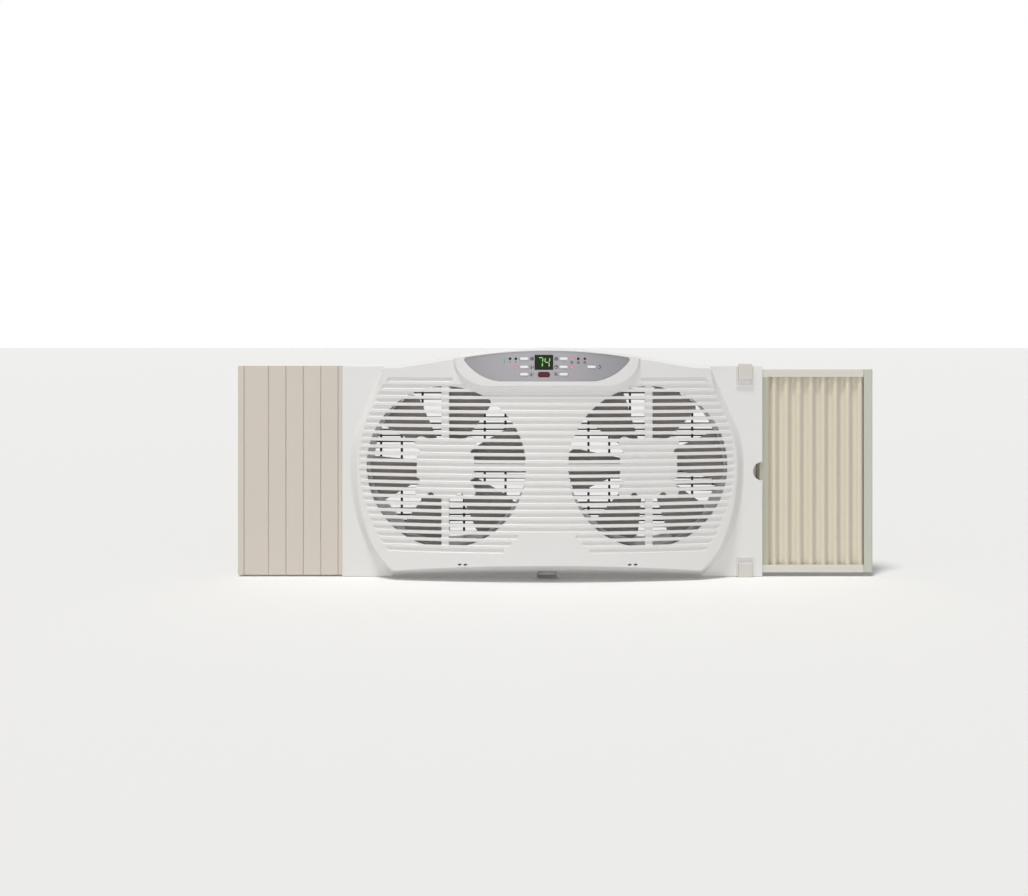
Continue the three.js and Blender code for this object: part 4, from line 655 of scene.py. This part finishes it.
# The seven segments of a digit: middle across and up as shares of its size, and whether level.
SEGMENTS = {
    "a": (0.5, 1, True), "b": (1, 0.75, False), "c": (1, 0.25, False), "d": (0.5, 0, True),
    "e": (0, 0.25, False), "f": (0, 0.75, False), "g": (0.5, 0.5, True),
}
GLYPHS = {"7": "abc", "4": "bcfg"}
DIGITS = ((-5.1, "7"), (4.6, "4"))
DIGIT_WIDTH, DIGIT_HEIGHT, DIGIT_BAR, DIGIT_SLANT = 6.4, 13.4, 1.5, 0.09


def display_digits():
    """Two slanted seven-segment digits that stand just in front of the display window."""
    digits = Shell()
    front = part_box("display_window")[0][1] / MM - 0.12
    pen = DIGIT_BAR / 2
    for place, glyph in DIGITS:
        for key in GLYPHS[glyph]:
            u, v, level = SEGMENTS[key]
            half = (DIGIT_WIDTH if level else DIGIT_HEIGHT / 2) / 2 - 0.5
            outline = [(-half, 0), (-half + pen, -pen), (half - pen, -pen),
                       (half, 0), (half - pen, pen), (-half + pen, pen)]
            points = []
            for along, across in outline:
                du, dv = (along, across) if level else (across, along)
                up = (v - 0.5) * DIGIT_HEIGHT + dv
                right = CLUSTER_X + place + (u - 0.5) * DIGIT_WIDTH + du + up * DIGIT_SLANT
                points.append((right, DISPLAY[2] + up))
            digits.prism(points, front, front + 0.1)
    return digits.build("display_digits")


def lamp(index, x, z, material):
    """A small dome that stands a little out of its hole in the panel."""
    front = face_y(x, LENS_FORWARD)
    rings = []
    for cosine, sine in quarter(5):
        rings.append([(u, front + 0.25 - 0.55 * cosine, v)
                      for u, v in disc(x, z, max(0.05, LAMP_RADIUS * sine), 24)])
    rings.append([(u, front + 0.28, v) for u, v in disc(x, z, LAMP_RADIUS, 24)])
    piece = smooth(Shell().loft(rings).build(f"lamp_{index}"), 50)
    dress(piece, material)
    return piece


def control_icons():
    """Small generic marks printed beside the keys and under the lamps."""
    icons = Shell()
    depth, pen = 0.12, 0.85

    def front(x):
        return face_y(x, LENS_FORWARD) - 0.08

    def stroke(x, z, u, v):
        length = math.hypot(u, v)
        px, pz = -v / length * pen / 2, u / length * pen / 2
        icons.prism([(x + px, z + pz), (x - px, z - pz), (x + u - px, z + v - pz),
                     (x + u + px, z + v + pz)], front(x), front(x) + depth)

    def ring(x, z, radius):
        inner, outer, low, high = radius - pen / 2, radius + pen / 2, front(x), front(x) + depth
        icons.turned([(inner, low), (outer, low), (outer, high), (inner, high)], x, z, 28)

    def arc(x, z, radius, start, sweep):
        turns = [start + sweep * i / 28 for i in range(29)]
        outer = [polar(x, z, radius + pen / 2, turn) for turn in turns]
        inner = [polar(x, z, radius - pen / 2, turn) for turn in turns]
        icons.prism(outer + inner[::-1], front(x), front(x) + depth)

    def thermometer(x, z):
        stroke(x, z + 2.6, 0, -3.6)
        ring(x, z - 1.6, 0.9)
        stroke(x + 1.9, z, 2, 0)

    left, right = KEY_LEFT + 11.2, KEY_RIGHT - 10.6
    ring(left, UPPER, 2.2)
    for degrees in (0, 60, 120):
        end = polar(0, 0, 2.6, degrees)
        stroke(left - end[0] / 2, UPPER - end[1] / 2, *end)
    thermometer(left - 1.2, MIDDLE)
    stroke(left + 1.7, MIDDLE - 1, 0, 2)
    thermometer(left - 1.2, LOWER)
    ring(right, UPPER, 2.2)
    stroke(right - 1, UPPER + 0.8, 2, 0)
    stroke(right - 1, UPPER - 0.8, 2, 0)
    ring(right, MIDDLE, 2.2)
    stroke(right, MIDDLE - 0.3, 0, 1.7)
    stroke(right - 0.3, MIDDLE, 1.5, 0)
    ring(right - 0.8, LOWER + 0.9, 1.3)
    stroke(right + 0.4, LOWER - 0.4, 1.5, -1.5)
    stroke(right - 0.8, LOWER - 0.8, 0, -1.6)
    arc(POWER_MARK, MIDDLE, 2.2, 120, 300)
    stroke(POWER_MARK, MIDDLE + 0.4, 0, 2.4)
    for x, z, _ in LAMPS[:3]:
        stroke(x, z - 3.6, 0, -2)
    for x, z, _ in LAMPS[3:6]:
        ring(x, z - 5.4, 1.4)
    return icons.build("control_icons")


# ---- rear cover
def box_outline(distance):
    """Outline of the box at the back, moved inwards by distance."""
    half = BOX_HALF - distance
    return rounded(-half, BOX_LOW + distance, half, BOX_HIGH - distance,
                   REAR_CORNER - distance, 10)


def rear_cover():
    """Mounting plate with ledges for the rails, and the box with its bores and feet."""
    def ring(distance, y):
        return [(u, y, v) for u, v in box_outline(distance)]

    straight, floor = REAR_DEPTH - REAR_ROUND, REAR_DEPTH - REAR_WALL
    rings = [ring(0, PLATE_FRONT), ring(0, straight)]
    for cosine, sine in quarter(6)[1:]:
        rings.append(ring(REAR_ROUND * (1 - cosine), straight + REAR_ROUND * sine))
    plate = Shell().box(FLANGE_LEFT, PLATE_FRONT, 0, FLANGE_RIGHT, PLATE_BACK, FLANGE_HEIGHT)
    body = union(Shell().loft(rings).build("rear_cover_skin"), plate.build("plate"))
    inside = Shell().prism(box_outline(REAR_WALL), PLATE_FRONT - 1, floor).build("inside")
    axes = ((-FAN_X, FAN_Z), (FAN_X, FAN_Z))
    bores = discs(Shell(), axes, DUCT_RADIUS, 128, floor - 1, REAR_DEPTH + 5)
    extras, holes = Shell(), Shell()
    cut(body, inside, bores.build("bores"))

    clip_side, edge = CLIP_X - CLIP_WIDTH / 2 - 3, FLANGE_RIGHT - 3
    for low, high, right in (
        (RAIL_TOP + FIT, RAIL_TOP + FIT + RAIL_GUIDE, clip_side),
        (RAIL_TOP - RAIL_HEIGHT - FIT - RAIL_GUIDE, RAIL_TOP - RAIL_HEIGHT - FIT, edge),
        (RAIL_BOTTOM + RAIL_HEIGHT + FIT, RAIL_BOTTOM + RAIL_HEIGHT + FIT + RAIL_GUIDE, edge),
        (WALL + FIT, RAIL_BOTTOM - FIT, clip_side),
    ):
        extras.box(GUIDE_LEFT, FLANGE_BACK + FIT, low, right, PLATE_FRONT + 0.5, high)
    half = FOOT_WIDTH / 2
    for x in FEET:
        extras.box(x - half, PLATE_FRONT, 0, x + half, REAR_DEPTH - 2, BOX_LOW + 1)
    discs(holes, COVER_SCREWS, SCREW_HOLE, 16, PLATE_FRONT - 1, PLATE_BACK + 1)
    gland = [polar(GLAND_Y, GLAND_Z, GLAND_RADIUS, 45 * i) for i in range(8)]
    holes.prism(gland, BOX_HALF - 6, BOX_HALF + 6, "X")
    return smooth(cut(union(body, extras.build("extras")), holes.build("holes")), 32)


def air_duct(side):
    """Round duct with its guard, and which of its faces are wall.

    The guard's level bars end in the wall, and the upright ones lie behind them.
    """
    x = FAN_X if side == "right" else -FAN_X
    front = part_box(f"air_duct_{side}")[0][1] / MM
    profile = [(DUCT_RADIUS, front), (DUCT_OUTER, front),
               (DUCT_OUTER, DUCT_BACK), (DUCT_RADIUS, DUCT_BACK)]
    duct = Shell().turned(profile, x, FAN_Z, 128).build(f"air_duct_{side}_skin")
    rows, columns = Shell(), Shell()
    count = math.floor(OPENING_RADIUS / GUARD_PITCH)
    for row in range(-count, count + 1):
        offset = row * GUARD_PITCH
        half = math.sqrt((DUCT_RADIUS + DUCT_WALL / 2) ** 2 - (abs(offset) + GUARD_BAR / 2) ** 2)
        low = FAN_Z + offset - GUARD_BAR / 2
        outline = rounded(DUCT_BACK - GUARD_DEPTH, low, DUCT_BACK, low + GUARD_BAR, 0.7, 3)
        rows.prism(outline, x - half, x + half, "X")
    for column in range(1, math.ceil(FANS_HALF_WIDTH / GUARD_COLUMN_PITCH)):
        middle = math.copysign(column * GUARD_COLUMN_PITCH, x)
        room = (DUCT_RADIUS - GUARD_SHORTER) ** 2 - (abs(middle - x) + GUARD_COLUMN / 2) ** 2
        if room < 1:
            continue
        half = math.sqrt(room)
        left = middle - GUARD_COLUMN / 2
        outline = rounded(left, DUCT_BACK - 0.6,
                          left + GUARD_COLUMN, DUCT_BACK + GUARD_DEPTH, 0.6, 3)
        columns.prism(outline, FAN_Z - half, FAN_Z + half, "Z")
    union(duct, rows.build("rows"), columns.build("columns"))
    guard_front = DUCT_BACK - GUARD_DEPTH - 0.1
    walls = [int(polygon.center.y / MM < guard_front) for polygon in duct.data.polygons]
    return smooth(duct, 32), walls


# ---- propellers
def blade_skin(shell, middle_degrees):
    """One pitched and cambered blade, thin at its edges."""
    length = BLADE_RADIUS - HUB_RADIUS + BLADE_SINK
    stations = [HUB_RADIUS - BLADE_SINK + length * (i / 14) for i in range(15)]
    chord = 12

    def point(radius, share, side):
        outward = (radius - stations[0]) / (BLADE_RADIUS - stations[0])
        tip = max(0.0, (outward - BLADE_TIP_START) / 0.1)
        swing = BLADE_HALF_ANGLE * (1 - BLADE_TIP_NARROWING * tip * tip)
        angle = math.radians(middle_degrees + share * swing)
        axial = BLADE_ROOT_DEPTH + BLADE_TIP_GAIN * outward
        camber = BLADE_CAMBER * (1 - share * share)
        thickness = BLADE_EDGE + BLADE_SWELL * (1 - share * share)
        y = PROP_BACK - 1.5 - axial * (1 - share) / 2 + camber - thickness * side
        return (radius * math.cos(angle), y, radius * math.sin(angle))

    rings = []
    for radius in stations:
        rear = [point(radius, 2 * i / chord - 1, 0) for i in range(chord + 1)]
        front = [point(radius, 2 * i / chord - 1, 1) for i in range(chord + 1)]
        rings.append(rear + front[::-1])
    shell.loft(rings)


def propeller(side):
    """Six blades on a hollow hub with a rounded back and a boss for the shaft."""
    x = FAN_X if side == "right" else -FAN_X
    blades, one = Shell(), Shell()
    for i in range(BLADE_COUNT):
        blade_skin(one, BLADE_PHASE[side] + 360 * i / BLADE_COUNT)
    blades.add([(u + x, v, w + FAN_Z) for u, v, w in one.vertices], one.faces)
    inner = HUB_RADIUS - HUB_WALL
    boss_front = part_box(f"motor_rear_bracket_{side}")[1][1] / MM + 0.7
    hub_front, hub_floor = boss_front - 3, PROP_BACK - HUB_WALL
    profile = [(HUB_BORE, boss_front), (HUB_BOSS, boss_front), (HUB_BOSS, hub_floor),
               (inner, hub_floor), (inner, hub_front), (HUB_RADIUS, hub_front)]
    for cosine, sine in quarter(6):
        profile.append((HUB_RADIUS - HUB_ROUND + HUB_ROUND * cosine,
                        PROP_BACK - HUB_ROUND + HUB_ROUND * sine))
    profile.append((HUB_BORE, PROP_BACK))
    hub = Shell().turned(profile, x, FAN_Z, 72).build(f"propeller_{side}_skin")
    return smooth(union(hub, blades.build("blades")), 35)


# ---- side pieces
def box_mm(node):
    return [[value / MM for value in corner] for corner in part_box(node)]


def pleated_curtain():
    """Soft accordion folds, and which of its faces are on the darker flank of a pleat, which gets
    a painted shade.
    """
    (x0, y0, z0), (x1, y1, z1) = box_mm("pleated_curtain")
    pitch = (x1 - x0) / PLEATS
    columns, rows = PLEATS * PLEAT_STEPS, PLEAT_STEPS
    amplitude = (y1 - y0 - PLEAT_SHEET) / 2 * PLEAT_FILL
    chance = random.Random(7)
    lean = [chance.uniform(-PLEAT_LEAN, PLEAT_LEAN) for _ in range(PLEATS + 1)]
    vertices, faces = [], []
    for side in (-PLEAT_SHEET / 2, PLEAT_SHEET / 2):
        for j in range(rows + 1):
            v = j / rows
            for i in range(columns + 1):
                u = i / columns * PLEATS
                wave = math.cos(math.tau * u)
                fold = math.copysign(abs(wave) ** PLEAT_ROUND, wave)
                y = (y0 + y1) / 2 + amplitude * fold + side
                sway = lean[round(u)] * math.sin(math.pi * v) * math.sin(math.pi * i / columns)
                vertices.append((x0 + u * pitch + sway, y, z0 + (z1 - z0) * v))
    width = columns + 1
    size = width * (rows + 1)
    for layer in (0, 1):
        for j in range(rows):
            for i in range(columns):
                a = layer * size + j * width + i
                faces.append([a, a + 1, a + width + 1, a + width])
    rim = [(j * width + i, width) for j in range(rows) for i in (0, columns)]
    rim += [(j * width + i, 1) for i in range(columns) for j in (0, rows)]
    faces += [[a, a + step, a + step + size, a + size] for a, step in rim]
    curtain = smooth(Shell().add(vertices, faces).build("pleated_curtain_sheet"), 60)
    # Every second half pitch is the flank that takes the painted shade.
    painted_shade_flanks = [int((polygon.center.x / MM - x0) / pitch * 2) % 2
              for polygon in curtain.data.polygons]
    return curtain, painted_shade_flanks


def inner_stile():
    """The curtain's inner stile; beside the flange it reaches up and down to the rails."""
    (left, front, low), (right, back, high) = box_mm("curtain_inner_stile")
    outline = [(left, back - STILE_LIP), (left + STILE_LIP, front), (right, front),
               (right, back), (left, back)]
    stile = Shell().prism(outline, low, high, "Z").build("curtain_inner_stile_skin")
    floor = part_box("extender_bottom_rail")[1][2] / MM + FIT
    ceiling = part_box("extender_top_rail")[0][2] / MM - FIT
    shown = Shell().box(FLANGE_RIGHT + FIT, front, floor, right, front + STILE_FACE, ceiling)
    return smooth(union(stile, shown.build("shown")))


def soft_edges(name, node):
    """A copy of a CAD node's shape with rounded edges."""
    source = frame["nodes"][node]
    mesh = source.data.copy()
    bm = bmesh.new()
    bm.from_mesh(mesh)
    bmesh.ops.remove_doubles(bm, verts=bm.verts, dist=1e-6)
    bmesh.ops.dissolve_limit(bm, angle_limit=math.radians(1), verts=bm.verts, edges=bm.edges)
    bm.to_mesh(mesh)
    bm.free()
    mesh.materials.clear()
    copy = new_object(name, mesh)
    copy.matrix_world = source.matrix_world
    bevel = copy.modifiers.new("edges", "BEVEL")
    bevel.width = 0.5 * MM
    bevel.segments = 3
    bevel.limit_method = "ANGLE"
    bevel.angle_limit = math.radians(25)
    bevel.use_clamp_overlap = True
    return smooth(apply(copy, bevel), 40)


# ---- materials
def srgb(red, green, blue):
    def linear(value):
        value /= 255
        return value / 12.92 if value <= 0.04045 else ((value + 0.055) / 1.055) ** 2.4
    return (linear(red), linear(green), linear(blue), 1)


MATERIALS = {}


def set_inputs(node, values):
    for socket, value in values.items():
        node.inputs[socket].default_value = value


def surface(name, colour, roughness, variation=0.04, grain=1400, grain_depth=0.00002,
            edge=0.35, metallic=0.0, stretch=(1, 1, 1), emission=None, strength=0.0,
            sheen=0.0, specular=0.5):
    """A moulded or metal surface: cloudy colour, uneven gloss, fine grain and rounded edges."""
    material = bpy.data.materials.new(name)
    material.use_nodes = True
    nodes, links = material.node_tree.nodes, material.node_tree.links
    shader = nodes["Principled BSDF"]
    set_inputs(shader, {"Metallic": metallic, "Specular IOR Level": specular,
                        "Sheen Weight": sheen})
    if emission:
        set_inputs(shader, {"Emission Color": srgb(*emission), "Emission Strength": strength})
    place, mapping = nodes.new("ShaderNodeTexCoord"), nodes.new("ShaderNodeMapping")
    set_inputs(mapping, {"Scale": stretch})
    links.new(place.outputs["Object"], mapping.inputs["Vector"])

    def noise(scale, detail):
        texture = nodes.new("ShaderNodeTexNoise")
        set_inputs(texture, {"Scale": scale, "Detail": detail})
        links.new(mapping.outputs["Vector"], texture.inputs["Vector"])
        return texture.outputs["Fac"]

    cloud, tint = noise(18, 5), nodes.new("ShaderNodeMix")
    tint.data_type = "RGBA"
    # Sockets 6 and 7 take the two colours, socket 0 the factor, and output 2 gives the mix.
    for socket, share in ((6, 1 - variation), (7, 1 + variation)):
        shade = [min(1, value * share) for value in srgb(*colour)[:3]]
        set_inputs(tint, {socket: shade + [1]})
    links.new(cloud, tint.inputs[0])
    links.new(tint.outputs[2], shader.inputs["Base Color"])

    gloss = nodes.new("ShaderNodeMapRange")
    set_inputs(gloss, {"To Min": max(0.03, roughness - 0.06), "To Max": min(1, roughness + 0.06)})
    links.new(cloud, gloss.inputs["Value"])
    links.new(gloss.outputs["Result"], shader.inputs["Roughness"])

    bump = nodes.new("ShaderNodeBump")
    set_inputs(bump, {"Strength": 0.5, "Distance": grain_depth})
    links.new(noise(grain, 3), bump.inputs["Height"])
    if edge:
        bevel = nodes.new("ShaderNodeBevel")
        bevel.samples = 4
        set_inputs(bevel, {"Radius": edge * MM})
        links.new(bevel.outputs["Normal"], bump.inputs["Normal"])
    links.new(bump.outputs["Normal"], shader.inputs["Normal"])
    MATERIALS[name] = material


def make_materials():
    surface("cover_white", (222, 221, 220), 0.38, variation=0.012, edge=0.7)
    surface("panel_silver", (138, 137, 142), 0.32, variation=0.03, metallic=0.3, edge=0.2)
    surface("display_black", (24, 34, 14), 0.2, variation=0.3, edge=0.15, specular=0.08)
    surface("display_green", (118, 186, 98), 0.5, edge=0, emission=(132, 206, 110),
            strength=0.3)
    surface("receiver_red", (92, 24, 38), 0.25, variation=0.2, edge=0.2, specular=0.12)
    surface("icon_ink", (30, 30, 36), 0.6, edge=0, specular=0.2)
    surface("lamp_green", (90, 190, 84), 0.3, edge=0, emission=(96, 206, 90),
            strength=0.4)
    surface("lamp_off", (30, 34, 34), 0.25, edge=0, specular=0.2)
    surface("lamp_red", (236, 96, 112), 0.3, edge=0, emission=(255, 130, 142),
            strength=0.7)
    surface("lamp_dark_red", (100, 22, 44), 0.25, edge=0, specular=0.2)
    surface("board_green", (44, 104, 60), 0.4, variation=0.15)
    surface("lamination", (96, 98, 102), 0.42, variation=0.1, metallic=0.7,
            stretch=(1, 30, 1), grain=300, grain_depth=0.0002)
    surface("charcoal", (50, 52, 56), 0.55, variation=0.06, grain=1100, grain_depth=0.00004)
    surface("black_rubber", (30, 30, 32), 0.75, variation=0.1)
    surface("beige", (206, 198, 188), 0.55, variation=0.015)
    cloth = {"variation": 0.03, "grain": 2200, "grain_depth": 0.00003,
             "stretch": (1, 1, 0.15), "edge": 0, "sheen": 0.1}
    surface("pleat_beige", (216, 209, 188), 0.6, **cloth)
    # A darker copy of the pleat colour for one flank of every pleat: painted shade.
    surface("pleat_painted_shade", (203, 195, 181), 0.6, **cloth)
    surface("rail_white", (212, 208, 200), 0.5, variation=0.012)
    surface("stile_grey", (192, 193, 182), 0.5, variation=0.012)
    # A darker copy of stile_grey for the inner stile: painted shadow of the flange.
    surface("stile_painted_shadow", (178, 176, 160), 0.5, variation=0.012)
    surface("clip_grey", (206, 203, 197), 0.5, variation=0.015)
    surface("key_white", (236, 234, 237), 0.35, variation=0.01, edge=0)
    surface("zinc_steel", (170, 172, 174), 0.3, variation=0.06, metallic=0.95,
            stretch=(1, 12, 1), grain=500)
    surface("copper", (176, 100, 62), 0.35, variation=0.12, metallic=0.85,
            stretch=(1, 40, 1), grain=220, grain_depth=0.0003)
    surface("blade_grey", (184, 177, 174), 0.4, grain=900)
    surface("screw_steel", (150, 152, 155), 0.28, variation=0.08, metallic=0.95)


def dress(piece, material):
    piece.data.materials.clear()
    piece.data.materials.append(MATERIALS[material])


def dress_node(node, material):
    target = frame["nodes"][node]
    if not target.material_slots:
        target.data.materials.append(MATERIALS[material])
    for index in range(len(target.material_slots)):
        target.material_slots[index].material = MATERIALS[material]


def stand_in(piece, node, body, material):
    """Puts a piece in the place of a CAD node, on the body that it moves with."""
    dress(piece, material)
    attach(piece, body)
    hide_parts(node)


# ---- stage
PHOTO_WIDTH = 1028
CAMERA_PLACE, CAMERA_SENSOR, CAMERA_LENS = (0, -1.6156, 0.3416), 36, 38.206
CAMERA_SHIFT = (-33 / PHOTO_WIDTH, -104 / PHOTO_WIDTH)
# Left, front, right and back of the floor.
FLOOR = (-60000, -20000, 60000, 90000)
# Name, strength, width in degrees and direction.
SUNS = (("key", 2.35, 12, (0.15, 0.25, -0.95)), ("fill", 0.72, 24, (0.05, 0.99, -0.1)))


def make_stage():
    """Camera of the photo, pale floor, world and suns."""
    scene = bpy.context.scene
    scene.view_settings.view_transform = "Standard"

    camera_data = bpy.data.cameras.new("camera")
    camera = new_object("camera", camera_data)
    camera.location = CAMERA_PLACE
    camera.rotation_euler = (math.radians(90), 0, 0)
    camera_data.sensor_width = CAMERA_SENSOR
    camera_data.lens = CAMERA_LENS
    camera_data.shift_x, camera_data.shift_y = CAMERA_SHIFT
    scene.camera = camera

    corners = [(x, y, 0) for x, y in rectangle(*FLOOR)]
    floor = Shell().add(corners, [[0, 1, 2, 3]]).build("floor")
    material = bpy.data.materials.new("floor")
    material.use_nodes = True
    set_inputs(material.node_tree.nodes["Principled BSDF"],
               {"Base Color": srgb(232, 232, 231), "Roughness": 0.9})
    floor.data.materials.append(material)

    world = bpy.data.worlds.new("studio")
    scene.world = world
    world.use_nodes = True
    nodes, links = world.node_tree.nodes, world.node_tree.links
    background = nodes["Background"]
    set_inputs(background, {"Color": (0.95, 0.97, 1, 1), "Strength": 0.3})
    # The camera, gloss and glass see plain white.
    seen = nodes.new("ShaderNodeBackground")
    set_inputs(seen, {"Color": (1, 1, 1, 1), "Strength": 1})
    path = nodes.new("ShaderNodeLightPath")
    rays = path.outputs["Is Camera Ray"]
    for ray in ("Is Glossy Ray", "Is Transmission Ray"):
        either = nodes.new("ShaderNodeMath")
        either.operation = "MAXIMUM"
        links.new(rays, either.inputs[0])
        links.new(path.outputs[ray], either.inputs[1])
        rays = either.outputs[0]
    mix = nodes.new("ShaderNodeMixShader")
    for socket, output in enumerate((rays, background.outputs[0], seen.outputs[0])):
        links.new(output, mix.inputs[socket])
    links.new(mix.outputs[0], nodes["World Output"].inputs["Surface"])

    for name, energy, spread, direction in SUNS:
        data = bpy.data.lights.new(name, "SUN")
        data.energy = energy
        data.angle = math.radians(spread)
        data.color = (1, 0.985, 0.96)
        light = new_object(name, data)
        light.rotation_euler = Vector(direction).to_track_quat("-Z", "Y").to_euler()


# ---- assembly
make_materials()
make_stage()

for part in frame["record"]["subparts"]:
    dress_node(part["node"], part["material_slot"])

stand_in(front_cover(), "front_cover", "housing", "cover_white")
stand_in(control_lens(), "control_lens", "housing", "panel_silver")
stand_in(rear_cover(), "rear_cover", "housing", "cover_white")
for fan_side in ("left", "right"):
    duct_piece, duct_walls = air_duct(fan_side)
    stand_in(duct_piece, f"air_duct_{fan_side}", "housing", "charcoal")
    duct_piece.data.materials.append(MATERIALS["cover_white"])
    duct_piece.data.polygons.foreach_set("material_index", duct_walls)
curtain_piece, curtain_painted_shade_flanks = pleated_curtain()
stand_in(curtain_piece, "pleated_curtain", "housing", "pleat_beige")
# One flank of every pleat is dressed in the darker copy of the pleat colour: painted shade.
curtain_piece.data.materials.append(MATERIALS["pleat_painted_shade"])
curtain_piece.data.polygons.foreach_set("material_index", curtain_painted_shade_flanks)
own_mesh(curtain_piece)
for key_name, (key_x, key_z) in KEY_PLACES.items():
    stand_in(key_cap(key_name, key_x, key_z), key_name, key_name + "_body", "key_white")
for fan_side in ("left", "right"):
    stand_in(propeller(fan_side), f"propeller_{fan_side}", f"fan_{fan_side}", "blade_grey")
for number, (lamp_x, lamp_z, lamp_material) in enumerate(LAMPS, 1):
    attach(lamp(number, lamp_x, lamp_z, lamp_material), "housing")
digits_piece = display_digits()
dress(digits_piece, "display_green")
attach(digits_piece, "housing")
icons_piece = control_icons()
dress(icons_piece, "icon_ink")
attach(icons_piece, "housing")
for edge_node, edge_body, edge_material in (
    ("filler_panel", "side_filler", "beige"),
    ("extender_top_rail", "extender", "rail_white"),
    ("extender_bottom_rail", "extender", "rail_white"),
    ("extender_end_stile", "extender", "stile_grey"),
    ("lock_clip_top", "clip_top", "clip_grey"),
    ("lock_clip_bottom", "clip_bottom", "clip_grey"),
):
    edge_piece = soft_edges(edge_node + "_skin", edge_node)
    stand_in(edge_piece, edge_node, edge_body, edge_material)

# The inner stile takes the darker stile colour: painted shadow of the flange.
stand_in(inner_stile(), "curtain_inner_stile", "housing", "stile_painted_shadow")
